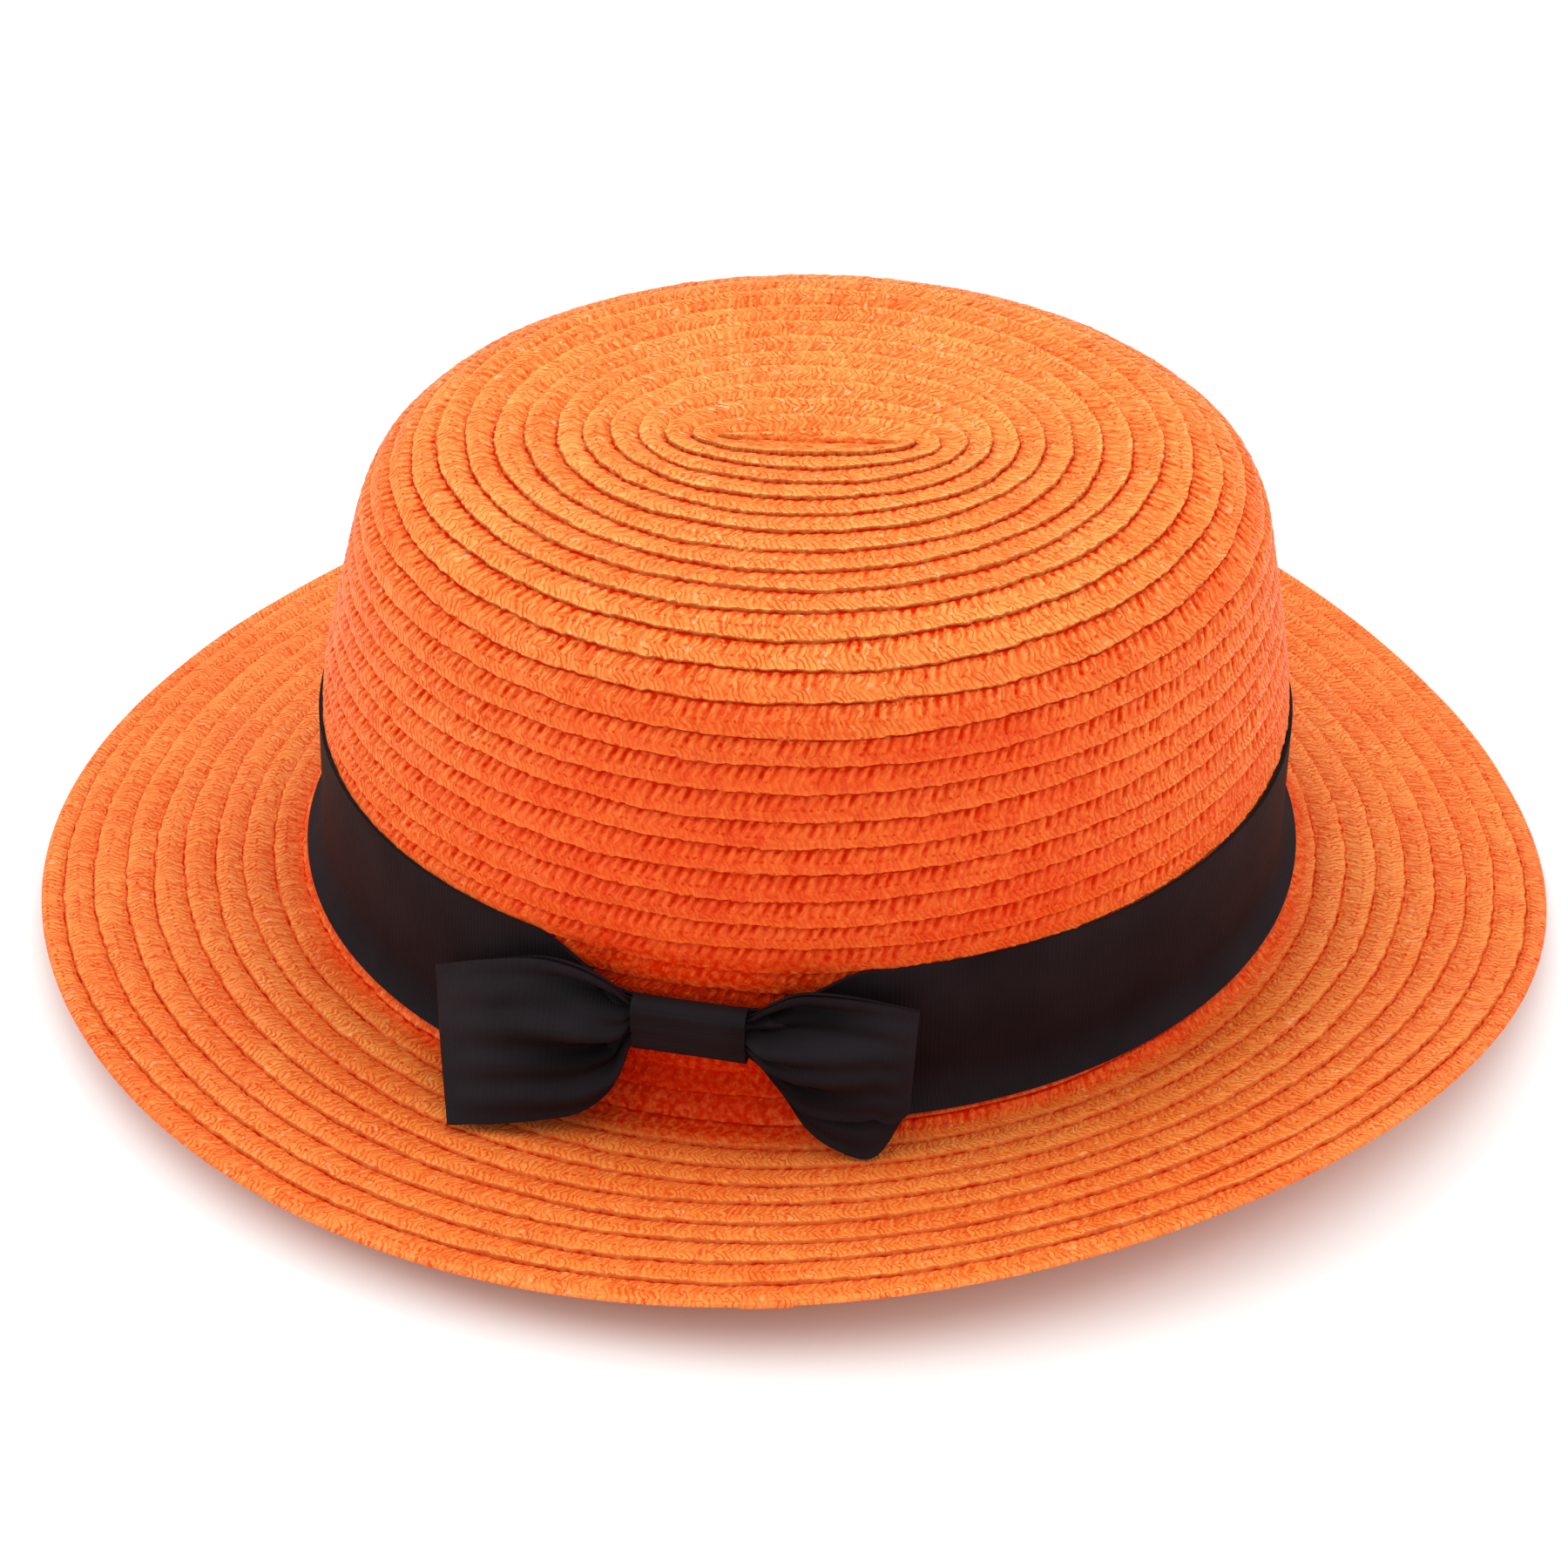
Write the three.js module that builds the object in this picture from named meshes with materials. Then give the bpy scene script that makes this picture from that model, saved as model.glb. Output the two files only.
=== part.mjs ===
// A straw boater hat with a ribbon and a bow.
// Millimetres, +Z up. The hat stands by itself on the plane z = 0, with the middle of its outline over the
// origin. X runs along the long axis of the oval, and the bow is on the -Y side.
//
// The straw is one long braid, sewn row over row from a slit in the middle of the tip, out to the tip's edge,
// down the wall of the crown and out over the brim. So a place on the hat is named by two numbers: its row,
// counted from the slit, and its angle round the oval, counted from +X towards +Y.

import * as THREE from "three";
import { ParametricGeometry } from "three/addons/geometries/ParametricGeometry.js";
import { mergeVertices } from "three/addons/utils/BufferGeometryUtils.js";

const { degToRad, clamp, lerp, smoothstep } = THREE.MathUtils;
const X_AXIS = new THREE.Vector3(1, 0, 0);
const Z_AXIS = new THREE.Vector3(0, 0, 1);

// Driving dimensions: they fit a head of 57 cm round.
const STRAW = 2.0; // wall of straw, two layers where the rows overlap
const RIBBON = 1.0; // ribbon, folded double
const GAP = 0.3; // clearance between two pieces that touch
const EDGE = 1.2; // straw at the brim's edge, where the last row lies alone
const FOOT_BEND = 3.5; // length over which the foot of the wall turns out into the brim
const NOD = 2.65; // degrees by which the crown leans towards the bow when the hat stands
const PRESS = 0.4; // depth by which the straw is pressed flat where it rests
const BASE_ROW = 30; // the row at which the wall ends and the brim begins

// Width of a row, by the row it starts at.
const ROW_WIDTHS = [
  { row: 0, width: 5.2 },
  { row: 6, width: 5.8 },
  { row: 14, width: 5.14 },
  { row: BASE_ROW, width: 5.85 },
];

// How steeply the straw falls outwards, in degrees: the tip, its rounded edge, the wall and its foot.
const SLOPES = [
  { row: 0, slope: 0 },
  { row: 1, slope: -6 },
  { row: 6, slope: 1.5 },
  { row: 9, slope: -2 },
  { row: 11, slope: 24 },
  { row: 13, slope: 43 },
  { row: 14.5, slope: 74 },
  { row: 16, slope: 75 },
  { row: 19, slope: 75 },
  { row: 23, slope: 90 },
  { row: 28, slope: 90 },
  { row: BASE_ROW, slope: 40 },
];

// The oval by rows: how much longer than wide half of it is, how far it is moved along X and how many degrees it
// is turned. At row 0 it is the slit, and half the slit's length is `longer`.
const OVALS = [
  { row: 0, longer: 15.6, moved: 1.3, turned: -4 },
  { row: 9, longer: 12.3, moved: 0.3, turned: -2.1 },
  { row: 14, longer: 10.4, moved: 2, turned: -1 },
  { row: 20, longer: 9.8, moved: 0.9, turned: -0.6 },
  { row: BASE_ROW, longer: 12.6, moved: 0, turned: 0 },
];
const CROWN_LEAN = -2.3; // how far the tip sits along Y off the middle of the crown's foot

// The brim's droop in degrees and its width, each as waves round the hat: how many, how much, and the angle where
// they are greatest.
const BRIM_DROOPS = [
  { waves: 0, most: -2.4, at: 0 },
  { waves: 1, most: 10.6, at: 98 },
  { waves: 2, most: 4.9, at: 5 },
  { waves: 3, most: 3.9, at: 15 },
];
const BRIM_WIDTHS = [
  { waves: 0, most: 51.3, at: 0 },
  { waves: 1, most: 1.5, at: 180 },
  { waves: 2, most: 1.1, at: 90 },
];

// The ribbon, from its lower to its upper edge, and the narrow place where the bow's knot grips it.
const RIBBON_ROWS = { lower: 29.8, upper: 22.9 };
const GRIPPED_ROWS = { lower: 26.4, upper: 24.2 };
const GRIP = { full: 7, none: 19 }; // degrees to each side of the knot

// The knot is a short flat tube of ribbon, wrapped round the inner ends of the bow's wings.
const KNOT = { angle: -101.7, row: 25.2, out: 4.3, width: 20.5, height: 11.6, depth: 5.2 };

// The wings of the bow, from beside the knot to the fold at the end: the upper and the lower edge of the ribbon,
// the depth of the loop, and how far down the back layer the front layer reaches.
const WING_LEFT = [
  { topX: -33.7, topY: -84.1, topZ: 33.9, lowX: -34.5, lowY: -85.6, lowZ: 11.1, depth: 4, front: 1 },
  { topX: -38.8, topY: -81.8, topZ: 35.5, lowX: -39.7, lowY: -87.8, lowZ: 7.8, depth: 5.4, front: 1 },
  { topX: -45.9, topY: -78.4, topZ: 35.2, lowX: -46.7, lowY: -89, lowZ: 6.8, depth: 6, front: 1 },
  { topX: -56.4, topY: -71.9, topZ: 29.3, lowX: -56.6, lowY: -89.5, lowZ: 5.8, depth: 4.6, front: 1 },
  { topX: -66.8, topY: -63.9, topZ: 21.1, lowX: -63.5, lowY: -89.4, lowZ: 5.6, depth: 2.3, front: 1 },
];
const WING_RIGHT = [
  { topX: -6, topY: -89.6, topZ: 33.7, lowX: -4.1, lowY: -90.5, lowZ: 13.7, depth: 4, front: 0.9 },
  { topX: -1.1, topY: -89.6, topZ: 36.1, lowX: 0.4, lowY: -93.5, lowZ: 7.9, depth: 5, front: 0.84 },
  { topX: 5.9, topY: -89.6, topZ: 35.8, lowX: 5.5, lowY: -96.4, lowZ: 5.7, depth: 5, front: 0.78 },
  { topX: 12.7, topY: -89, topZ: 34, lowX: 12.1, lowY: -97.4, lowZ: 4.7, depth: 4, front: 0.72 },
  { topX: 19.8, topY: -88.2, topZ: 31.3, lowX: 18.3, lowY: -93.4, lowZ: 12.2, depth: 2.3, front: 1 },
];
const WING_ROOT = { from: 1, to: 11.2, height: 7.4, depth: 2.3 }; // gathered, inside half of the knot
const WING_STEPS = 16; // from the knot to the fold
const PLEAT = { deep: 1.3, ridge: 0.36, pitch: 0.62 }; // of the front layer, as parts of its width

// Reads a table at a row, in straight lines between its lines.
function readTable(table, key, row) {
  const next = table.findIndex((line) => line.row >= row);
  if (next === 0) return table[0][key];
  if (next < 0) return table[table.length - 1][key];
  const [a, b] = [table[next - 1], table[next]];
  return lerp(a[key], b[key], (row - a.row) / (b.row - a.row));
}

function rowWidth(row) {
  return ROW_WIDTHS.filter((line) => line.row <= row).pop().width;
}

// The crown's profile across the short axis, followed in small steps from the slit to the foot of the wall.
const STEPS_PER_ROW = 20;
const PROFILE = [{ row: 0, radius: 0, height: 0 }];
for (let i = 0; i < BASE_ROW * STEPS_PER_ROW; i++) {
  const last = PROFILE[i];
  const middle = (i + 0.5) / STEPS_PER_ROW;
  const slope = degToRad(readTable(SLOPES, "slope", middle));
  const length = rowWidth(middle) / STEPS_PER_ROW;
  PROFILE.push({
    row: (i + 1) / STEPS_PER_ROW,
    radius: last.radius + length * Math.cos(slope),
    height: last.height - length * Math.sin(slope),
  });
}
const FOOT = PROFILE[PROFILE.length - 1];
const CROWN_HEIGHT = -FOOT.height;

function profileAt(row) {
  const at = clamp(row * STEPS_PER_ROW, 0, PROFILE.length - 1);
  const [a, b] = [PROFILE[Math.floor(at)], PROFILE[Math.ceil(at)]];
  const part = at - Math.floor(at);
  return {
    radius: lerp(a.radius, b.radius, part),
    height: lerp(a.height, b.height, part) + CROWN_HEIGHT,
    slope: degToRad(readTable(SLOPES, "slope", row)),
  };
}

function sumWaves(table, angle) {
  const wave = ({ waves, most, at }) => most * Math.cos(waves * (angle - degToRad(at)));
  return table.reduce((sum, line) => sum + wave(line), 0);
}

// The last row of the brim at an angle.
function edgeRow(angle) {
  return BASE_ROW + sumWaves(BRIM_WIDTHS, angle) / rowWidth(BASE_ROW);
}

// How far the underside lies off the outer face: the straw thins out over the last row of the brim.
function underside(row, angle) {
  const past = (row - BASE_ROW) / (edgeRow(angle) - BASE_ROW);
  return -lerp(STRAW, EDGE, clamp((past - 0.85) / 0.15, 0, 1));
}

// The brim's profile: the foot of the wall bends out evenly to the droop, then the straw runs straight.
function brimAt(row, angle) {
  const along = (row - BASE_ROW) * rowWidth(BASE_ROW);
  const bent = Math.min(along, FOOT_BEND);
  const start = degToRad(readTable(SLOPES, "slope", BASE_ROW));
  const droop = degToRad(sumWaves(BRIM_DROOPS, angle));
  const turn = (droop - start) / FOOT_BEND;
  const slope = start + turn * bent;
  return {
    radius: FOOT.radius + (Math.sin(slope) - Math.sin(start)) / turn + (along - bent) * Math.cos(droop),
    height: (Math.cos(slope) - Math.cos(start)) / turn - (along - bent) * Math.sin(droop),
    slope,
  };
}

// A point of the straw's outer face, or of a face that lies `out` beyond it, before the hat is set down.
function looseStraw(row, angle, out) {
  const { radius, height, slope } = row > BASE_ROW ? brimAt(row, angle) : profileAt(row);
  const r = Math.max(radius + out * Math.sin(slope), 0);
  const z = height + out * Math.cos(slope);
  const x = (r + readTable(OVALS, "longer", row)) * Math.cos(angle);
  const y = r * Math.sin(angle);
  const moved = new THREE.Vector3(readTable(OVALS, "moved", row), (CROWN_LEAN * z) / CROWN_HEIGHT, 0);
  return new THREE.Vector3(x, y, z)
    .applyAxisAngle(Z_AXIS, degToRad(readTable(OVALS, "turned", row)))
    .add(moved)
    .applyAxisAngle(X_AXIS, degToRad(NOD));
}

// The height of the plane that the hat rests on: a little above the lowest place of its underside.
function restingHeight() {
  let lowest = Infinity;
  for (let degrees = 0; degrees < 360; degrees++) {
    const angle = degToRad(degrees);
    const last = edgeRow(angle);
    for (let part = 0; part <= 1; part += 1 / 32) {
      const row = lerp(BASE_ROW - 2, last, part);
      lowest = Math.min(lowest, looseStraw(row, angle, underside(row, angle)).z);
    }
  }
  return lowest + PRESS;
}
const FLOOR = restingHeight();

// A point of the hat as it stands, with what would lie under the floor pressed flat.
function straw(row, angle, out = 0) {
  const point = looseStraw(row, angle, out);
  point.z = Math.max(point.z - FLOOR, out - underside(row, angle));
  return point;
}

// Angles of the columns of the straw's meshes, and of the ribbon's: its steps are finer beside the knot.
function columnAngles(step, fineStep, fineFrom, fineTo) {
  const angles = [];
  for (let degrees = -90; degrees < 270; ) {
    angles.push(degToRad(degrees));
    degrees += degrees >= fineFrom && degrees < fineTo ? fineStep : step;
  }
  angles.push(degToRad(270));
  return angles;
}
const STRAW_ANGLES = columnAngles(5, 5, 0, 0);
const RIBBON_ANGLES = columnAngles(5, 2.5, 235, 270);

// A closed surface over a grid: pointAt(line, column) gives its points, and the lines close on themselves or
// shrink to a seam at both ends.
function gridSolid(lines, columns, pointAt) {
  const evaluate = (u, v, target) => {
    target.copy(pointAt(Math.round(v * lines), Math.round(u * columns)));
  };
  const geometry = new ParametricGeometry(evaluate, columns, lines);
  geometry.deleteAttribute("normal");
  geometry.deleteAttribute("uv");
  const solid = mergeVertices(geometry, 1e-3);
  solid.computeVertexNormals();
  return solid;
}

function piece(name, geometry, material) {
  const mesh = new THREE.Mesh(geometry, material);
  mesh.name = name;
  return mesh;
}

const strawBraid = new THREE.MeshStandardMaterial({ color: 0xf2652a, roughness: 0.6, metalness: 0 });
const blackRibbon = new THREE.MeshStandardMaterial({ color: 0x16121a, roughness: 0.55, metalness: 0 });

// Rows of the rings of the meshes in the bend at the foot of the wall, where the ribbon lies close to the straw.
const FOOT_ROWS = [28, 28.6, 29.1, 29.6];

// The crown: its inner face from the slit to the foot, then its outer face back to the slit.
function crown() {
  const foot = BASE_ROW - GAP / 2 / rowWidth(BASE_ROW - 1);
  const inner = [0, 3, 6, 9, 11, 12.5, 13.5, 14.5, 16, 19, 23, ...FOOT_ROWS, foot];
  const tip = [0, 3, 6, 8, 9.5, 10.5, 11.5, 12.25, 13, 13.75];
  const wall = [14.5, 16, 19, 21, 23, 25.5, ...FOOT_ROWS, foot];
  const rings = [
    ...inner.map((row) => ({ row, out: -STRAW })),
    ...[...tip, ...wall].toReversed().map((row) => ({ row, out: 0 })),
  ];
  const pointAt = (line, column) => straw(rings[line].row, STRAW_ANGLES[column], rings[line].out);
  return gridSolid(rings.length - 1, STRAW_ANGLES.length - 1, pointAt);
}

// The brim: its underside outwards, then its upper face back to the foot of the wall.
function brim() {
  const first = BASE_ROW + GAP / 2 / rowWidth(BASE_ROW);
  const parts = [0, 0.03, 0.07, 0.3, 0.6, 0.85, 0.97, 1];
  const rings = [
    ...parts.map((part) => ({ part, under: true })),
    ...parts.toReversed().map((part) => ({ part, under: false })),
  ];
  rings.push(rings[0]);
  const pointAt = (line, column) => {
    const angle = STRAW_ANGLES[column];
    const row = lerp(first, edgeRow(angle), rings[line].part);
    return straw(row, angle, rings[line].under ? underside(row, angle) : 0);
  };
  return gridSolid(rings.length - 1, STRAW_ANGLES.length - 1, pointAt);
}

// The ribbon round the foot of the crown, a little off the straw.
function ribbonBand() {
  const rows = [RIBBON_ROWS.upper, 24.5, 26, ...FOOT_ROWS];
  const rings = [
    ...rows.map((row) => ({ row, out: GAP })),
    ...rows.toReversed().map((row) => ({ row, out: GAP + RIBBON })),
  ];
  rings.push(rings[0]);
  const pointAt = (line, column) => {
    const angle = RIBBON_ANGLES[column];
    const away = Math.abs(THREE.MathUtils.radToDeg(angle) - 360 - KNOT.angle) % 360;
    const spread = smoothstep(Math.min(away, 360 - away), GRIP.full, GRIP.none);
    const upper = lerp(GRIPPED_ROWS.upper, RIBBON_ROWS.upper, spread);
    const lower = lerp(GRIPPED_ROWS.lower, RIBBON_ROWS.lower, spread);
    const part = (rings[line].row - RIBBON_ROWS.upper) / (RIBBON_ROWS.lower - RIBBON_ROWS.upper);
    return straw(lerp(upper, lower, part), angle, rings[line].out);
  };
  return gridSolid(rings.length - 1, RIBBON_ANGLES.length - 1, pointAt);
}

// The knot's centre and its own directions: along the ribbon, away from the crown and up.
function knotFrame() {
  const centre = straw(KNOT.row, degToRad(KNOT.angle), KNOT.out);
  const outward = straw(KNOT.row, degToRad(KNOT.angle), KNOT.out + 1).sub(centre);
  const along = Z_AXIS.clone().cross(outward).normalize();
  const up = outward.clone().cross(along).normalize();
  const at = (a, o, u) => centre.clone()
    .addScaledVector(along, a)
    .addScaledVector(outward, o)
    .addScaledVector(up, u);
  return { at };
}

// A wing of the bow: a loop of ribbon that leaves the knot at the back, folds over at the end and comes back
// in front. Its two layers part in the middle, and the front one falls in a pleat.
function wing(table) {
  const sides = Math.sign(table[0].topX - table[table.length - 1].topX);
  const { at } = knotFrame();
  const root = [WING_ROOT.from, (WING_ROOT.from + WING_ROOT.to) / 2, WING_ROOT.to].map((a) => ({
    top: at(-sides * a, 0, WING_ROOT.height / 2),
    low: at(-sides * a, 0, -WING_ROOT.height / 2),
    depth: WING_ROOT.depth,
    front: 1,
  }));
  const open = table.map((s) => ({
    top: new THREE.Vector3(s.topX, s.topY, s.topZ),
    low: new THREE.Vector3(s.lowX, s.lowY, s.lowZ),
    depth: s.depth,
    front: s.front,
  }));
  const sections = [...root, ...open];
  const top = new THREE.CatmullRomCurve3(sections.map((s) => s.top));
  const low = new THREE.CatmullRomCurve3(sections.map((s) => s.low));
  const columnOf = (key) => sections.map((s, i) => ({ row: i / (sections.length - 1), [key]: s[key] }));
  const depths = columnOf("depth");
  const fronts = columnOf("front");

  // The path of the ribbon: out along the back layer, round the fold and in along the front layer.
  const path = [];
  for (let i = 0; i <= WING_STEPS; i++) path.push({ part: (0.98 * i) / WING_STEPS, side: -1 });
  path.push({ part: 1, side: 0 });
  for (let i = WING_STEPS; i >= 0; i--) path.push({ part: (0.98 * i) / WING_STEPS, side: 1 });

  const middle = (step, crossing) => {
    const { part, side } = path[step];
    const down = low.getPoint(part).sub(top.getPoint(part));
    const along = top.getTangent(part).add(low.getTangent(part));
    const outward = along.cross(down).normalize().multiplyScalar(sides);
    const reach = side < 0 ? 1 : readTable(fronts, "front", part);
    const belly = Math.sin(Math.PI * lerp(0.1, 0.9, crossing));
    const apart = (readTable(depths, "depth", part) - RIBBON) / 2;
    const least = (RIBBON + GAP) / 2;
    const wave = Math.cos((2 * Math.PI * (crossing - PLEAT.ridge)) / PLEAT.pitch);
    const pleat = side > 0 ? PLEAT.deep * wave * Math.sin(Math.PI * clamp(part * 1.5 - 0.35, 0, 1)) : 0;
    const away = side * Math.max(least, apart * belly) + pleat * Math.sin(Math.PI * crossing);
    return top.getPoint(part).addScaledVector(down, crossing * reach).addScaledVector(outward, away);
  };
  // The two faces of the ribbon lie half its thickness off its middle, square to the path.
  const faceAt = (step, crossing, side) => {
    const before = middle(Math.max(step - 1, 0), crossing);
    const after = middle(Math.min(step + 1, path.length - 1), crossing);
    const down = middle(step, 1).sub(middle(step, 0));
    const normal = after.sub(before).cross(down).normalize();
    return middle(step, crossing).addScaledVector(normal, (side * RIBBON) / 2);
  };
  const across = 6;
  const section = [];
  for (let j = 0; j <= across; j++) section.push({ crossing: j / across, side: -1 });
  for (let j = across; j >= 0; j--) section.push({ crossing: j / across, side: 1 });
  section.push(section[0]);
  // One line more at each end closes the ribbon's cut end down to its middle.
  const pointAt = (line, column) => {
    const step = clamp(line - 1, 0, path.length - 1);
    const cut = line === 0 || line === path.length + 1;
    return faceAt(step, section[column].crossing, cut ? 0 : section[column].side);
  };
  return gridSolid(path.length + 1, section.length - 1, pointAt);
}

// The knot: a flat tube of ribbon with round upper and lower sides, which follows the curve of the crown.
function knot() {
  const half = { width: KNOT.width / 2, height: KNOT.height / 2, depth: KNOT.depth / 2 };
  const { at } = knotFrame();
  const corners = 6;
  const ring = (inset) => {
    const round = half.depth - inset;
    const straight = half.height - half.depth;
    const points = [];
    for (let i = 0; i <= corners; i++) {
      const bend = (Math.PI * i) / corners;
      points.push(new THREE.Vector2(Math.cos(bend) * round, straight + Math.sin(bend) * round));
    }
    return points.concat(points.map((p) => p.clone().negate()));
  };
  const outer = ring(0);
  const inner = ring(RIBBON);
  outer.push(outer[0]);
  inner.push(inner[0]);
  const steps = 4;
  const loops = [];
  for (let i = 0; i <= steps; i++) loops.push({ part: i / steps, ring: outer });
  for (let i = steps; i >= 0; i--) loops.push({ part: i / steps, ring: inner });
  loops.push(loops[0]);
  const pointAt = (line, column) => {
    const { part, ring: points } = loops[line];
    return at(lerp(half.width, -half.width, part), points[column].x, points[column].y);
  };
  return gridSolid(loops.length - 1, outer.length - 1, pointAt);
}

const hat = new THREE.Group();
hat.add(
  piece("crown", crown(), strawBraid),
  piece("brim", brim(), strawBraid),
  piece("ribbon_band", ribbonBand(), blackRibbon),
  piece("bow_wing_left", wing(WING_LEFT), blackRibbon),
  piece("bow_wing_right", wing(WING_RIGHT), blackRibbon),
  piece("bow_knot", knot(), blackRibbon),
);

// The middle of the hat's outline goes over the origin.
const outline = new THREE.Box3().setFromObject(hat).getCenter(new THREE.Vector3());
hat.position.set(-outline.x, -outline.y, 0);

export default hat;
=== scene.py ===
"""A straw boater hat with a ribbon and a bow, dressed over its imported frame.

The straw is one long braid, sewn row over row from a slit in the middle of the tip, down the crown's wall and
out over the brim. A place on the hat is named by its row, counted from the slit, its angle round the oval,
counted from +X towards +Y, and how far it stands off the straw's outer face. A turn is the share of a full
angle from the seam. Lengths are in millimetres until they reach a mesh.
"""

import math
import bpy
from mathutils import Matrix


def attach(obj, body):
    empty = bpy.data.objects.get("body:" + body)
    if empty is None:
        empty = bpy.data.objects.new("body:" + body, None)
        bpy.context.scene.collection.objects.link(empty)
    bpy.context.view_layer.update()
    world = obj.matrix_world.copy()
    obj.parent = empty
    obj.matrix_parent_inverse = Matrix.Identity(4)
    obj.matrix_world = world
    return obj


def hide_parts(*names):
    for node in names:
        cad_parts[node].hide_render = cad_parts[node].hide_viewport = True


bl_info = {
    "name": "Straw boater hat",
    "version": (1, 0, 0),
    "blender": (4, 5, 0),
    "location": "3D View > Sidebar > Hat",
    "description": "Dresses a straw boater hat with sewn braid, a ribbon and a bow",
    "category": "Object",
}

import bmesh
import bpy
import numpy as np
from mathutils import Vector

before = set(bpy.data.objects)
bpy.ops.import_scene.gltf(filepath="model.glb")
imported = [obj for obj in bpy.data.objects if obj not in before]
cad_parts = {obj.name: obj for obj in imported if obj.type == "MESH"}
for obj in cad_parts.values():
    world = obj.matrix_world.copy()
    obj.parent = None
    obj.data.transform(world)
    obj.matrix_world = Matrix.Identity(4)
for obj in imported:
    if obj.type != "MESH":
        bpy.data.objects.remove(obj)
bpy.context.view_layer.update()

# ---------------------------------------------------------------- sizes of the hat

STRAW = 2.0  # thickness of the straw
EDGE = 1.2  # its thickness at the brim's edge, where the last row lies alone
THINS_FROM, THINS_OVER = 0.85, 0.15  # where on the brim it thins to that, as shares of the brim's width
BASE_ROW = 30  # where the wall ends and the brim begins
FOOT_BEND = 3.5  # length over which the foot of the wall turns out into the brim
NOD = 2.65  # degrees by which the crown leans towards the bow when the hat stands
PRESS = 0.4  # depth by which the straw is pressed flat where it rests
ROW_STARTS = (0, 6, 14, BASE_ROW)
ROW_WIDTHS = (5.2, 5.8, 5.14, 5.85)
SLOPE_ROWS = (0, 1, 6, 9, 11, 13, 14.5, 16, 19, 23, 28, BASE_ROW)
SLOPES = (0, -6, 1.5, -2, 24, 43, 74, 75, 75, 90, 90, 40)  # how steeply the straw falls outwards, in degrees
OVAL_ROWS = (0, 9, 14, 20, BASE_ROW)
OVAL_LONGER = (15.6, 12.3, 10.4, 9.8, 12.6)  # how much longer than wide half the oval is
OVAL_MOVED = (1.3, 0.3, 2.0, 0.9, 0.0)  # how far it is moved along X
OVAL_TURNED = (-4.0, -2.1, -1.0, -0.6, 0.0)  # by how many degrees it is turned
CROWN_LEAN = -2.3  # how far the tip sits along Y off the middle of the crown's foot
# The brim's droop in degrees and its width, as waves round the hat: how many, how much, and where most.
BRIM_DROOPS = ((0, -2.4, 0), (1, 10.6, 98), (2, 4.9, 5), (3, 3.9, 15))
BRIM_WIDTHS = ((0, 51.3, 0), (1, 1.5, 180), (2, 1.1, 90))
SEAM = 270.0  # the angle at which the rows are counted; the spiral runs from here towards smaller angles

RIBBON_ROWS = (22.9, 29.8)  # the ribbon's upper and lower edge round the crown
GRIPPED_ROWS = (24.65, 26.4)  # and where the knot grips it
GRIP_ANGLES = (7.0, 19.0)  # degrees from the knot between which it spreads from the one to the other
KNOT_ANGLE, KNOT_ROW, KNOT_OUT = -101.7, 25.2, 4.3
KNOT_TURN = (SEAM - (KNOT_ANGLE + 360)) / 360
KNOT_SIZE = (20.5, 11.6, 5.2)  # its length, height and depth


def smooth(low, high, x):
    """A smooth rise from 0 at low to 1 at high, or a fall if low is the higher."""
    t = np.clip((x - low) / (high - low), 0, 1)
    return t * t * (3 - 2 * t)


def row_width(row):
    starts = np.array(ROW_STARTS)
    return np.array(ROW_WIDTHS)[np.searchsorted(starts, row, side="right") - 1]


# The crown's profile across the short axis, in small steps from the slit to the foot of the wall.
PROFILE_STEP = 0.025
_steps = np.arange(0, BASE_ROW, PROFILE_STEP) + PROFILE_STEP / 2
_falls = np.radians(np.interp(_steps, SLOPE_ROWS, SLOPES))
_widths = row_width(_steps) * PROFILE_STEP
PROFILE_ROWS = np.arange(0, BASE_ROW + PROFILE_STEP / 2, PROFILE_STEP)
PROFILE_RADII = np.concatenate([[0], np.cumsum(_widths * np.cos(_falls))])
PROFILE_HEIGHTS = np.concatenate([[0], np.cumsum(-_widths * np.sin(_falls))])
CROWN_HEIGHT = -PROFILE_HEIGHTS[-1]
PROFILE_HEIGHTS = PROFILE_HEIGHTS + CROWN_HEIGHT


def sum_waves(table, angle):
    return sum(most * np.cos(waves * (angle - math.radians(at))) for waves, most, at in table)


def edge_row(angle):
    return BASE_ROW + sum_waves(BRIM_WIDTHS, angle) / ROW_WIDTHS[-1]


def underside(row, angle):
    """How far the back of the straw lies off its outer face."""
    past = (row - BASE_ROW) / (edge_row(angle) - BASE_ROW)
    return -(STRAW + (EDGE - STRAW) * np.clip((past - THINS_FROM) / THINS_OVER, 0, 1))


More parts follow.
